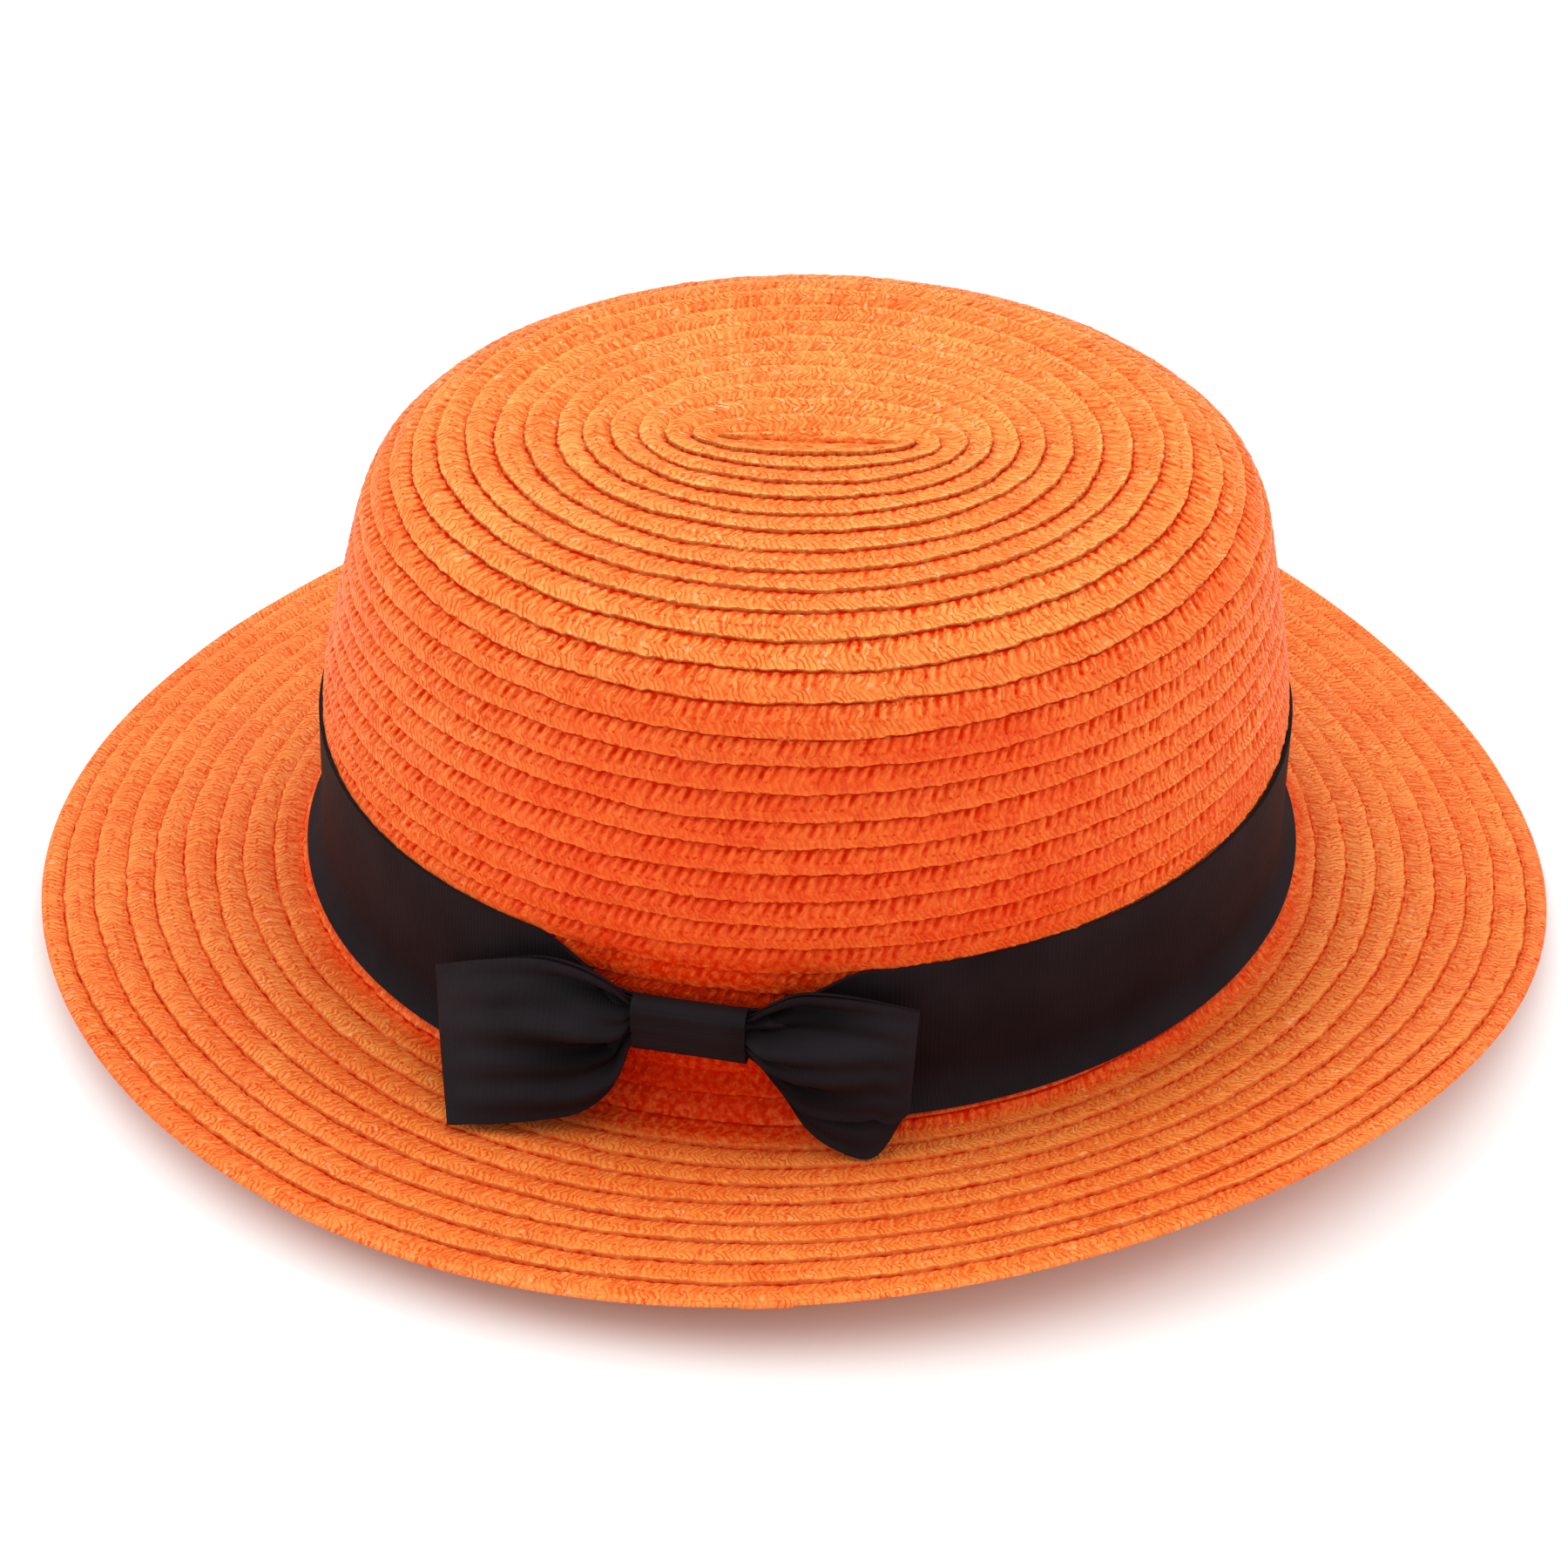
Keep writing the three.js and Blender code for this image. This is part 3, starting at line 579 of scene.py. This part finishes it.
def wing_mesh(sections, pleats, thick):
    """A loop of ribbon: out from the knot at the back, round the fold at the end and back in front."""
    side = 1 if sections[-1][0][0] < sections[0][0][0] else -1
    start, end, height, depth = WING_ROOT
    roots = [start + (end - start) * k / (WING_ROOTS - 1) for k in range(WING_ROOTS)]
    tops = [knot_place(-side * root, 0, height / 2) for root in roots]
    tops += [np.array(section[0]) - MIDDLE for section in sections]
    lows = [knot_place(-side * root, 0, -height / 2) for root in roots]
    lows += [np.array(section[1]) - MIDDLE for section in sections]
    marks = np.arange(len(tops)) / (len(tops) - 1)
    depths = [depth] * WING_ROOTS + [section[2] for section in sections]
    fronts = [1.0] * WING_ROOTS + [section[3] for section in sections]
    # The back layer is side -1 and the front layer side 1, and so are the ribbon's two faces.
    out, back = np.linspace(0, FOLD_STARTS, WING_STEPS), np.linspace(FOLD_STARTS, 0, WING_STEPS)
    parts = np.concatenate([out, [FOLD_NEARS, 1.0, FOLD_NEARS], back])
    sides = np.concatenate([-np.ones(WING_STEPS), [-0.6, 0, 0.6], np.ones(WING_STEPS)])
    down = [(k / WING_CROSSINGS, -1) for k in range(WING_CROSSINGS + 1)]
    up = [(k / WING_CROSSINGS, 1) for k in range(WING_CROSSINGS, -1, -1)]
    crossings, faces = np.array([*down, *up, down[0]]).T

    def middle(part, layer, crossing):
        top, low = curve_through(tops, part), curve_through(lows, part)
        drop = low - top
        along = curve_through(tops, part + WING_LOOK) - curve_through(tops, part - WING_LOOK)
        along = along + curve_through(lows, part + WING_LOOK) - curve_through(lows, part - WING_LOOK)
        outward = np.cross(along, drop) * side
        outward = outward / np.linalg.norm(outward, axis=-1, keepdims=True)
        reach = np.where(layer < 0, 1, np.interp(part, marks, fronts))
        apart = (np.interp(part, marks, depths) - thick) / 2 * np.sin(math.pi * (0.1 + 0.8 * crossing))
        apart = np.maximum(apart, (thick + LAYER_GAP) / 2)
        fold = pleats(part, crossing, layer) + gathers(part, crossing)
        fold = fold * smooth(0.0, 0.12, crossing) * smooth(0.0, 0.10, 1 - crossing)
        return top + drop * (crossing * reach)[..., None] + outward * (layer * apart + fold)[..., None]

    def place(column, line):
        step = np.clip(line - 1, 0, len(parts) - 1)
        cut = (line == 0) | (line == len(parts) + 1)
        crossing, face = crossings[column], np.where(cut, 0, faces[column])
        point = middle(parts[step], sides[step], crossing)
        before, after = np.maximum(step - 1, 0), np.minimum(step + 1, len(parts) - 1)
        run = middle(parts[after], sides[after], crossing) - middle(parts[before], sides[before], crossing)
        across = middle(parts[step], sides[step], np.minimum(crossing + 0.02, 1.0))
        across = across - middle(parts[step], sides[step], np.maximum(crossing - 0.02, 0.0))
        normal = np.cross(run, across)
        normal = normal / np.maximum(np.linalg.norm(normal, axis=-1, keepdims=True), 1e-9)
        point = point + normal * (face * thick / 2)[..., None]
        # Painted shade darkens the hollows between the pleats.
        hollow = np.clip(-pleats(parts[step], crossing, sides[step]) / 2.4, 0, 1)
        return point, {"along": parts[step] * LOOP_RUN, "shade": hollow}

    return grid_mesh(len(crossings) - 1, len(parts) + 1, place)


def knot_mesh(thick):
    """The knot: a flat tube of ribbon round the wings' inner ends, with two creases along it."""
    width, height, depth = KNOT_SIZE
    corners, steps = 64, 40
    inner_share = 1 - 2 * thick / depth
    lines = [(k / steps, 0.0) for k in range(steps + 1)] + [(1 - k / steps, 1.0) for k in range(steps + 1)]
    shares, insides = np.array([*lines, lines[0]]).T

    def place(column, line):
        bend = 2 * math.pi * column / corners
        along = (shares[line] * 2 - 1) * width / 2
        inside = insides[line]
        radius = depth / 2 * (1 - inside) + (depth / 2 * inner_share) * inside
        straight = height / 2 - depth / 2
        outward = np.cos(bend) * radius
        up = np.sin(bend) * radius + np.clip(np.sin(bend) * 3, -1, 1) * straight
        front = smooth(0.1, 0.6, np.cos(bend))
        crease = pleat(up + 0.04 * along, -1.8, 0.55, 0.55)
        second = pleat(up - 0.03 * along, 2.2, 0.6, 0.25)
        outward = outward - front * (crease + second) * (1 - inside)
        waist = 0.35 * np.cos(math.pi * along / width)
        up = up * (1 - 0.05 * waist * (1 - inside))
        return knot_place(along, outward, up), {"along": up, "shade": np.zeros(len(up))}

    return grid_mesh(corners, len(lines), place)


def band_turns():
    """Turns for the ribbon round the crown, closer together round the knot."""
    wide = np.linspace(0, 1, 361)
    close = KNOT_TURN + np.linspace(-0.075, 0.075, 181)
    wide = wide[np.abs(wide - KNOT_TURN) > 0.076]
    return np.unique(np.round(np.concatenate([[0.0, 1.0], wide, close % 1]), 9))


def band_mesh(thick):
    """The ribbon round the foot of the crown, gathered to a narrow neck where the knot grips it."""
    turns = band_turns()
    face = [k / BAND_LINES for k in range(BAND_LINES + 1)]
    lines = [(v, BAND_LIFT) for v in face] + [(v, BAND_LIFT + thick) for v in reversed(face)]
    crossings, lifts = np.array([*lines, lines[0]]).T

    def place(column, line):
        turn, across = turns[column], crossings[line]
        degrees = SEAM - 360 * turn
        away = from_knot(degrees)
        spread = smooth(*GRIP_ANGLES, away)
        upper, lower = (grip + (free - grip) * spread for grip, free in zip(GRIPPED_ROWS, RIBBON_ROWS))
        gathered = smooth(26.0, 8.0, away)
        folds = 0.5 * gathered * (1 + np.cos(2 * math.pi * (across * 4.2 + 0.3))) * (0.3 + 0.7 * (1 - spread))
        slack = 0.12 * (ripple(turn * 37, 21) - 0.3) * (1 - gathered)
        out = lifts[line] + folds * 0.9 + slack
        point = straw(upper + (lower - upper) * across, np.radians(degrees), out)
        return point, {"along": turn * BAND_RUN, "shade": np.zeros(len(turn))}

    return grid_mesh(len(turns) - 1, len(lines), place)


# ---------------------------------------------------------------- materials

# Kinds of nodes, with their settings where they have any.
MATHS = "ABSOLUTE ADD COSINE DIVIDE FLOOR FRACT MAXIMUM MULTIPLY MULTIPLY_ADD SINE SQRT SUBTRACT".split()
ABSOLUTE, ADD, COSINE, DIVIDE, FLOORED, FRACT, MAXIMUM, MULTIPLY, MULTIPLY_ADD, SINE, SQRT, SUBTRACT = (
    ("ShaderNodeMath", {"operation": operation}) for operation in MATHS
)
# 0 below From Min, 1 above From Max and a smooth rise between them, or a fall if From Min is the higher.
SMOOTH_RANGE = ("ShaderNodeMapRange", {"interpolation_type": "SMOOTHSTEP"})
EVEN_RANGE = ("ShaderNodeMapRange", {"interpolation_type": "LINEAR"})
NOISE = "ShaderNodeTexNoise"
ATTRIBUTE = "ShaderNodeAttribute"
BLEND = ("ShaderNodeMix", {"data_type": "RGBA"})  # inputs 6 and 7 are its colours, and output 2 the blend


def linear(hex_colour):
    """An sRGB hex colour as linear red, green, blue and alpha."""
    parts = [int(hex_colour[i : i + 2], 16) / 255 for i in (1, 3, 5)]
    return (*[p / 12.92 if p <= 0.04045 else ((p + 0.055) / 1.055) ** 2.4 for p in parts], 1.0)


def node(tree, kind, settings=None, **links):
    """Adds a node. Settings are its properties. Links are its inputs, by name, or by number after an
    underscore. Each is a value, a socket, or another node, which stands for its first output."""
    made = tree.nodes.new(kind)
    for name, value in (settings or {}).items():
        setattr(made, name, value)
    for name, value in links.items():
        key = int(name[1:]) if name[0] == "_" else name.replace("_", " ")
        if isinstance(value, bpy.types.Node):
            value = value.outputs[0]
        if isinstance(value, bpy.types.NodeSocket):
            tree.links.new(value, made.inputs[key])
        else:
            made.inputs[key].default_value = value
    return made


def new_material(name):
    material = bpy.data.materials.new(name)
    material.use_nodes = True
    tree = material.node_tree
    tree.nodes.clear()
    return material, tree


def straw_strands(tree, sizes, along, across, waver):
    """The strands cross the row in chevrons, which waver."""
    half = node(tree, *ABSOLUTE, _0=node(tree, *SUBTRACT, _0=across, _1=0.52))
    spaced = node(tree, *DIVIDE, _0=along, _1=sizes.strand_spacing)
    phase = node(tree, *MULTIPLY_ADD, _0=half, _1=2.4, _2=spaced)
    phase = node(tree, *MULTIPLY_ADD, _0=waver, _1=3.0, _2=phase)
    return node(tree, *COSINE, _0=node(tree, *MULTIPLY, _0=phase, _1=2 * math.pi))


def straw_pinholes(tree, sizes, place, along, across, waver):
    """Pinholes about half a millimetre wide lie in two lines along each row."""
    line = node(tree, *MULTIPLY, _0=node(tree, *MULTIPLY_ADD, _0=waver, _1=0.16, _2=across), _1=2.4)
    spaced = node(tree, *DIVIDE, _0=along, _1=sizes.pinhole_spacing)
    spot = node(tree, *MULTIPLY_ADD, _0=node(tree, *FLOORED, _0=line), _1=0.5, _2=spaced)
    shaken = node(tree, NOISE, Vector=place, Scale=700.0, Detail=2.0)
    spot = node(tree, *MULTIPLY_ADD, _0=shaken, _1=1.4, _2=spot)
    sideways = node(tree, *SUBTRACT, _0=node(tree, *FRACT, _0=spot), _1=0.5)
    sideways = node(tree, *MULTIPLY, _0=sideways, _1=sizes.pinhole_spacing)
    upwards = node(tree, *SUBTRACT, _0=node(tree, *FRACT, _0=line), _1=0.5)
    upwards = node(tree, *MULTIPLY, _0=upwards, _1=2.3)
    squared = node(tree, *MULTIPLY, _0=upwards, _1=upwards)
    off = node(tree, *SQRT, _0=node(tree, *MULTIPLY_ADD, _0=sideways, _1=sideways, _2=squared))
    patchy = node(tree, NOISE, Vector=place, Scale=260.0, Detail=2.0)
    patchy = node(tree, *SMOOTH_RANGE, Value=patchy, From_Min=0.36, From_Max=0.62)
    hole = node(tree, *SMOOTH_RANGE, Value=off, From_Min=0.42, From_Max=0.16)
    return node(tree, *MULTIPLY, _0=hole, _1=patchy)


def straw_gaps(tree, strand, holes, waver, faded):
    """Painted shade between the strands, which is weaker where painted light makes the straw paler, and in
    the pinholes.
    """
    between = node(tree, *SMOOTH_RANGE, Value=strand, From_Min=-0.2, From_Max=-1.0)
    open_here = node(tree, *SMOOTH_RANGE, Value=waver, From_Min=0.35, From_Max=0.65)
    open_here = node(tree, *MULTIPLY_ADD, _0=open_here, _1=0.5, _2=0.2)
    gaps = node(tree, *MULTIPLY, _0=between, _1=open_here)
    gaps = node(tree, *MULTIPLY, _0=gaps, _1=node(tree, *EVEN_RANGE, Value=faded, From_Max=0.5, To_Min=0.35))
    return node(tree, *MAXIMUM, _0=gaps, _1=node(tree, *MULTIPLY, _0=holes, _1=0.8))


def straw_dye_and_light(tree, sizes, place, tone, faded, strand):
    """The dye soaks in unevenly, over a hand's breadth and from strand to strand. Painted light turns it to a
    paler, yellower copy where the straw faces up, and painted glints, pale specks where it is lit, stand in
    for the varnish catching the light."""
    broad = node(tree, NOISE, Vector=place, Scale=28.0, Detail=2.0)
    fine = node(tree, *SUBTRACT, _0=node(tree, NOISE, Vector=place, Scale=900.0, Detail=2.0), _1=0.5)
    level = node(tree, *MULTIPLY_ADD, _0=broad, _1=0.3, _2=node(tree, *MULTIPLY, _0=tone, _1=0.7))
    level = node(tree, *MULTIPLY_ADD, _0=fine, _1=1.5, _2=level)
    level = node(tree, *MULTIPLY_ADD, _0=strand, _1=0.10, _2=level)
    deep, light = linear(sizes.straw_deep), linear(sizes.straw_light)
    plain_dye = node(tree, *BLEND, Factor=level, _6=deep, _7=light).outputs[2]
    deep, light = linear(sizes.painted_lit_deep), linear(sizes.painted_lit_light)
    painted_lit_dye = node(tree, *BLEND, Factor=level, _6=deep, _7=light).outputs[2]
    dye_and_light = node(tree, *BLEND, Factor=faded, _6=plain_dye, _7=painted_lit_dye).outputs[2]
    # Painted glints: pale specks where the straw is painted light, standing in for the varnish catching the
    # lamps.
    folds = node(tree, NOISE, Vector=place, Scale=620.0, Detail=1.0)
    folds = node(tree, *SMOOTH_RANGE, Value=folds, From_Min=0.66, From_Max=0.74)
    folds = node(tree, *MULTIPLY, _0=node(tree, *MULTIPLY, _0=folds, _1=0.5), _1=faded)
    return node(tree, *BLEND, Factor=folds, _6=dye_and_light, _7=linear(sizes.straw_painted_glint)).outputs[2]


def straw_material(sizes):
    """Dyed paper straw, plaited into a flat braid and lightly varnished: a warm saturated orange, painted
    paler and yellower where it faces up, with painted shade in deep red between the strands, in the pinholes
    and under the lips, painted glints, and a soft gloss on the strands' tops."""
    material, tree = new_material("dyed_straw_braid")
    names = ("shade", "tone", "faded", "along", "across")
    sockets = (node(tree, ATTRIBUTE, {"attribute_name": name}).outputs["Fac"] for name in names)
    shade, tone, faded, along, across = sockets
    place = node(tree, "ShaderNodeTexCoord").outputs["Object"]
    waver = node(tree, NOISE, Vector=place, Scale=450.0, Detail=2.0)
    strand = straw_strands(tree, sizes, along, across, waver)
    holes = straw_pinholes(tree, sizes, place, along, across, waver)
    gaps = straw_gaps(tree, strand, holes, waver, faded)
    dye_and_light = straw_dye_and_light(tree, sizes, place, tone, faded, strand)
    # The strands' ends make the painted shade under a lip ragged.
    ends = node(tree, *SUBTRACT, _0=node(tree, NOISE, Vector=place, Scale=850.0, Detail=1.0), _1=0.5)
    ragged = node(tree, *MULTIPLY, _0=ends, _1=node(tree, *MULTIPLY, _0=shade, _1=3.4))
    # Painted shade: the shade attribute, made ragged, and the gaps between the strands turn the colour deep
    # red.
    painted_shade = node(tree, *MAXIMUM, _0=node(tree, *ADD, _0=shade, _1=ragged), _1=gaps)
    painted_shade = node(tree, "ShaderNodeClamp", Value=painted_shade)
    # Fibres of paper about a third of a millimetre apart.
    fibres = node(tree, NOISE, Vector=place, Scale=2900.0, Detail=2.0)
    height = node(tree, *MULTIPLY_ADD, _0=fibres, _1=0.4, _2=node(tree, *MULTIPLY, _0=strand, _1=0.35))
    height = node(tree, *MULTIPLY_ADD, _0=gaps, _1=-1.0, _2=height)
    shader = node(
        tree,
        "ShaderNodeBsdfPrincipled",
        Base_Color=node(tree, *BLEND, Factor=painted_shade, _6=dye_and_light, _7=linear(sizes.straw_shade_colour)).outputs[2],
        Roughness=node(tree, *EVEN_RANGE, Value=painted_shade, To_Min=0.42, To_Max=0.8),
        Specular_IOR_Level=node(tree, *EVEN_RANGE, Value=painted_shade, To_Min=0.2, To_Max=0.0),
        Normal=node(tree, "ShaderNodeBump", Strength=0.55, Distance=0.0002, Height=height),
    )
    node(tree, "ShaderNodeOutputMaterial", Surface=shader)
    return material


def ribbon_material(sizes):
    """Black grosgrain, a woven ribbon with fine cross ribs: deep black with a dull sheen."""
    material, tree = new_material("black_grosgrain")
    place = node(tree, "ShaderNodeTexCoord").outputs["Object"]
    along = node(tree, ATTRIBUTE, {"attribute_name": "along"}).outputs["Fac"]
    shade = node(tree, ATTRIBUTE, {"attribute_name": "shade"}).outputs["Fac"]
    # Real ribs are about 0.4 mm apart, and are drawn twice as coarse so that they show.
    ribs = node(tree, *SINE, _0=node(tree, *MULTIPLY, _0=along, _1=2 * math.pi / sizes.rib_spacing))
    lint = node(tree, NOISE, Vector=place, Scale=1500.0, Detail=3.0)
    height = node(tree, *MULTIPLY_ADD, _0=ribs, _1=0.25, _2=lint)
    patches = node(tree, NOISE, Vector=place, Scale=60.0, Detail=4.0)
    worn = node(tree, "ShaderNodeValToRGB", Fac=patches)
    stops = ((0.3, sizes.ribbon_colour), (0.75, sizes.ribbon_light))
    for stop, (at, colour) in zip(worn.color_ramp.elements, stops):
        stop.position, stop.color = at, linear(colour)
    # Painted shade in the hollows between the bow's pleats.
    hollow = node(tree, *MULTIPLY, _0=shade, _1=0.75)
    blended = node(tree, *BLEND, Factor=hollow, _6=worn.outputs[0], _7=linear(sizes.ribbon_hollow_shade))
    shader = node(
        tree,
        "ShaderNodeBsdfPrincipled",
        Base_Color=blended.outputs[2],
        Roughness=0.62,
        Specular_IOR_Level=0.06,
        Normal=node(tree, "ShaderNodeBump", Strength=0.35, Distance=0.0002, Height=height),
    )
    node(tree, "ShaderNodeOutputMaterial", Surface=shader)
    return material


def floor_material(sizes):
    """Seamless matt backdrop paper, white with a trace of warmth and a faint grain."""
    material, tree = new_material("backdrop_paper")
    place = node(tree, "ShaderNodeTexCoord").outputs["Object"]
    grain = node(tree, NOISE, Vector=place, Scale=90.0, Detail=2.0)
    shader = node(
        tree,
        "ShaderNodeBsdfPrincipled",
        Base_Color=linear(sizes.floor_colour),
        Roughness=0.9,
        Specular_IOR_Level=0.1,
        Normal=node(tree, "ShaderNodeBump", Strength=0.02, Distance=0.0005, Height=grain),
    )
    node(tree, "ShaderNodeOutputMaterial", Surface=shader)
    return material


def shared(name, make, sizes):
    """A material that several pieces share, made when the first of them needs it."""
    return bpy.data.materials.get(name) or make(sizes)


# ---------------------------------------------------------------- settings


def colour_setting(name, description, default):
    description = f"{description}, as an sRGB hex value"
    return bpy.props.StringProperty(name=name, description=description, default=default)


def size_setting(name, description, default):
    description = f"{description}, in millimetres"
    return bpy.props.FloatProperty(name=name, description=description, default=default, min=0.1)


class HatSizes(bpy.types.PropertyGroup):
    """Sizes, colours and light that a user would change."""

    ribbon_thickness: size_setting("Ribbon thickness", "Thickness of the ribbon round the crown and bow", 0.7)
    rib_spacing: size_setting("Rib spacing", "Distance between the ribbon's ribs", 0.8)
    strand_spacing: size_setting("Strand spacing", "Distance between the braid's strands along a row", 1.1)
    pinhole_spacing: size_setting("Pinhole spacing", "Distance between the braid's pinholes along a row", 1.3)
    straw_light: colour_setting("Light strands", "Colour of the lightest strands", "#ff7026")
    straw_deep: colour_setting("Deep strands", "Colour of the darkest strands", "#e83e04")
    # These two colours are a paler, yellower copy of the straw's colours, painted where light falls from
    # above and on the wall's sides.
    painted_lit_light: colour_setting("Light bleached strands", "Lightest colour of faded dye", "#f3a852")
    painted_lit_deep: colour_setting("Deep bleached strands", "Darkest colour of faded dye", "#e8721f")
    # Painted glints: pale specks that stand in for light caught by the varnish.
    straw_painted_glint: colour_setting("Glints", "Colour of the glossy folds of the straw", "#ffd29c")
    # The colour that painted shade turns the straw to, between the strands, in the pinholes, under the lips
    # and round the bow.
    straw_shade_colour: colour_setting("Gaps", "Colour between the strands", "#d42600")
    ribbon_colour: colour_setting("Ribbon", "Colour of the ribbon", "#191518")
    ribbon_light: colour_setting("Ribbon lint", "Lightest colour of the ribbon", "#231e22")
    # The colour of the painted shade in the hollows between the bow's pleats.
    ribbon_hollow_shade: colour_setting("Ribbon hollows", "Colour between the bow's pleats", "#080607")
    floor_colour: colour_setting("Backdrop", "Colour of the backdrop", "#f4f3f2")
    top_light: bpy.props.FloatProperty(
        name="Top light", description="Power of the soft box overhead", default=23.0, min=0.0, unit="POWER"
    )
    side_lights: bpy.props.FloatProperty(
        name="Side lights", description="Power of each side's soft box", default=6.2, min=0.0, unit="POWER"
    )
    sky: bpy.props.FloatProperty(
        name="Room light", description="Strength of the even light all round", default=0.685, min=0.0
    )


# ---------------------------------------------------------------- operators


class HAT_OT_crown(bpy.types.Operator):
    """Build the braided crown"""

    bl_idname = "hat.crown"
    bl_label = "Crown"

    def execute(self, context):
        straw_braid = shared("dyed_straw_braid", straw_material, context.scene.hat_sizes)
        lengths = (
            ("crown_tip", 0, 7, np.linspace(0, 1, 641), None),
            ("crown_shoulder", 7, 14, even_turns(12, 1200), None),
            ("crown_wall_upper", 14, 19, even_turns(18, 1180), None),
            ("crown_wall_lower", 19, 23, even_turns(18, 1180), None),
            ("crown_foot", 23, BASE_ROW, *foot_turns()),
        )
        for name, first, last, turns, detail in lengths:
            made = piece(name, braid_mesh(first, last, turns, detail), straw_braid, STRAW_SHARP)
            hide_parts("crown")
        return {"FINISHED"}


class HAT_OT_brim(bpy.types.Operator):
    """Build the braided brim"""

    bl_idname = "hat.brim"
    bl_label = "Brim"

    def execute(self, context):
        straw_braid = shared("dyed_straw_braid", straw_material, context.scene.hat_sizes)
        lengths = (
            ("brim_inner", BASE_ROW, 34.6, even_turns(33, 1400), False),
            ("brim_outer", 34.6, edge_row, even_turns(37, 1800), True),
        )
        for name, first, last, turns, rounded in lengths:
            made = piece(name, braid_mesh(first, last, turns, rounded=rounded), straw_braid, STRAW_SHARP)
            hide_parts("brim")
        return {"FINISHED"}


class HAT_OT_ribbon(bpy.types.Operator):
    """Build the ribbon round the crown"""

    bl_idname = "hat.ribbon"
    bl_label = "Ribbon"

    def execute(self, context):
        sizes = context.scene.hat_sizes
        grosgrain = shared("black_grosgrain", ribbon_material, sizes)
        made = piece("ribbon_round_crown", band_mesh(sizes.ribbon_thickness), grosgrain, RIBBON_SHARP)
        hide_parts("ribbon_band")
        return {"FINISHED"}


class HAT_OT_bow(bpy.types.Operator):
    """Build the bow and its knot"""

    bl_idname = "hat.bow"
    bl_label = "Bow"

    def execute(self, context):
        sizes = context.scene.hat_sizes
        grosgrain = shared("black_grosgrain", ribbon_material, sizes)
        wings = (
            ("bow_loop_left", WING_LEFT, left_pleats, "bow_wing_left", 0.099),
            ("bow_loop_right", WING_RIGHT, right_pleats, "bow_wing_right", 0.083),
        )
        for name, sections, pleats, cad, length in wings:
            made = piece(name, wing_mesh(sections, pleats, sizes.ribbon_thickness), grosgrain, RIBBON_SHARP)
            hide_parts(cad)
        made = piece("bow_knot_wrap", knot_mesh(sizes.ribbon_thickness), grosgrain, RIBBON_SHARP)
        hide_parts("bow_knot")
        return {"FINISHED"}


CAMERA_PLACE = (-1.75, -478.99, 376.08)
CAMERA_LOOK = (-0.0004, 0.7977, -0.6030)


def point_at(obj, direction):
    """Turns a lamp or the camera to face along a direction."""
    obj.rotation_mode = "QUATERNION"
    obj.rotation_quaternion = Vector(direction).to_track_quat("-Z", "Y")


class HAT_OT_stage(bpy.types.Operator):
    """Set the floor, the lights and the camera"""

    bl_idname = "hat.stage"
    bl_label = "Stage"

    def execute(self, context):
        scene, sizes = context.scene, context.scene.hat_sizes
        bm = bmesh.new()
        bmesh.ops.create_circle(bm, cap_ends=True, segments=96, radius=6.0)
        mesh = bpy.data.meshes.new("floor")
        bm.to_mesh(mesh)
        bm.free()
        mesh.materials.append(shared("backdrop_paper", floor_material, sizes))
        floor = bpy.data.objects.new("floor", mesh)
        scene.collection.objects.link(floor)

        # Places in metres. The soft boxes face the hat at half its height.
        lamps = (
            ("top_light", sizes.top_light, 3.0, (-0.1, 0.25, 1.6)),
            ("left_light", sizes.side_lights, 1.0, (-1.3, -0.1, 0.75)),
            ("right_light", sizes.side_lights, 1.0, (1.3, -0.1, 0.75)),
        )
        for name, power, size, place in lamps:
            data = bpy.data.lights.new(name, "AREA")
            data.shape, data.size, data.energy = "DISK", size, power
            lamp = bpy.data.objects.new(name, data)
            lamp.location = place
            point_at(lamp, Vector((0, 0, 0.05)) - Vector(place))
            scene.collection.objects.link(lamp)

        world = bpy.data.worlds.new("room")
        world.use_nodes = True
        back = world.node_tree.nodes["Background"]
        back.inputs["Color"].default_value = (1.0, 1.0, 1.0, 1.0)
        back.inputs["Strength"].default_value = sizes.sky
        scene.world = world
        scene.view_settings.view_transform = "Standard"

        data = bpy.data.cameras.new("camera")
        data.sensor_width, data.lens = 36.0, 68.58
        data.clip_start, data.clip_end = 0.02, 30.0
        camera = bpy.data.objects.new("camera", data)
        camera.location = Vector(CAMERA_PLACE) / 1000
        point_at(camera, CAMERA_LOOK)
        scene.collection.objects.link(camera)
        scene.camera = camera
        return {"FINISHED"}


class HAT_PT_panel(bpy.types.Panel):
    """The hat's pieces"""

    bl_idname = "HAT_PT_panel"
    bl_label = "Straw boater hat"
    bl_space_type = "VIEW_3D"
    bl_region_type = "UI"
    bl_category = "Hat"

    def draw(self, context):
        for operator in OPERATORS:
            self.layout.operator(operator.bl_idname)
        for name in HatSizes.__annotations__:
            self.layout.prop(context.scene.hat_sizes, name)


OPERATORS = (HAT_OT_crown, HAT_OT_brim, HAT_OT_ribbon, HAT_OT_bow, HAT_OT_stage)
CLASSES = (HatSizes, *OPERATORS, HAT_PT_panel)


def register():
    for cls in CLASSES:
        bpy.utils.register_class(cls)
    bpy.types.Scene.hat_sizes = bpy.props.PointerProperty(type=HatSizes)


def unregister():
    del bpy.types.Scene.hat_sizes
    for cls in reversed(CLASSES):
        bpy.utils.unregister_class(cls)


def main():
    register()
    hat = bpy.ops.hat
    for build in (hat.crown, hat.brim, hat.ribbon, hat.bow, hat.stage):
        build()


if __name__ == "__main__":
    main()
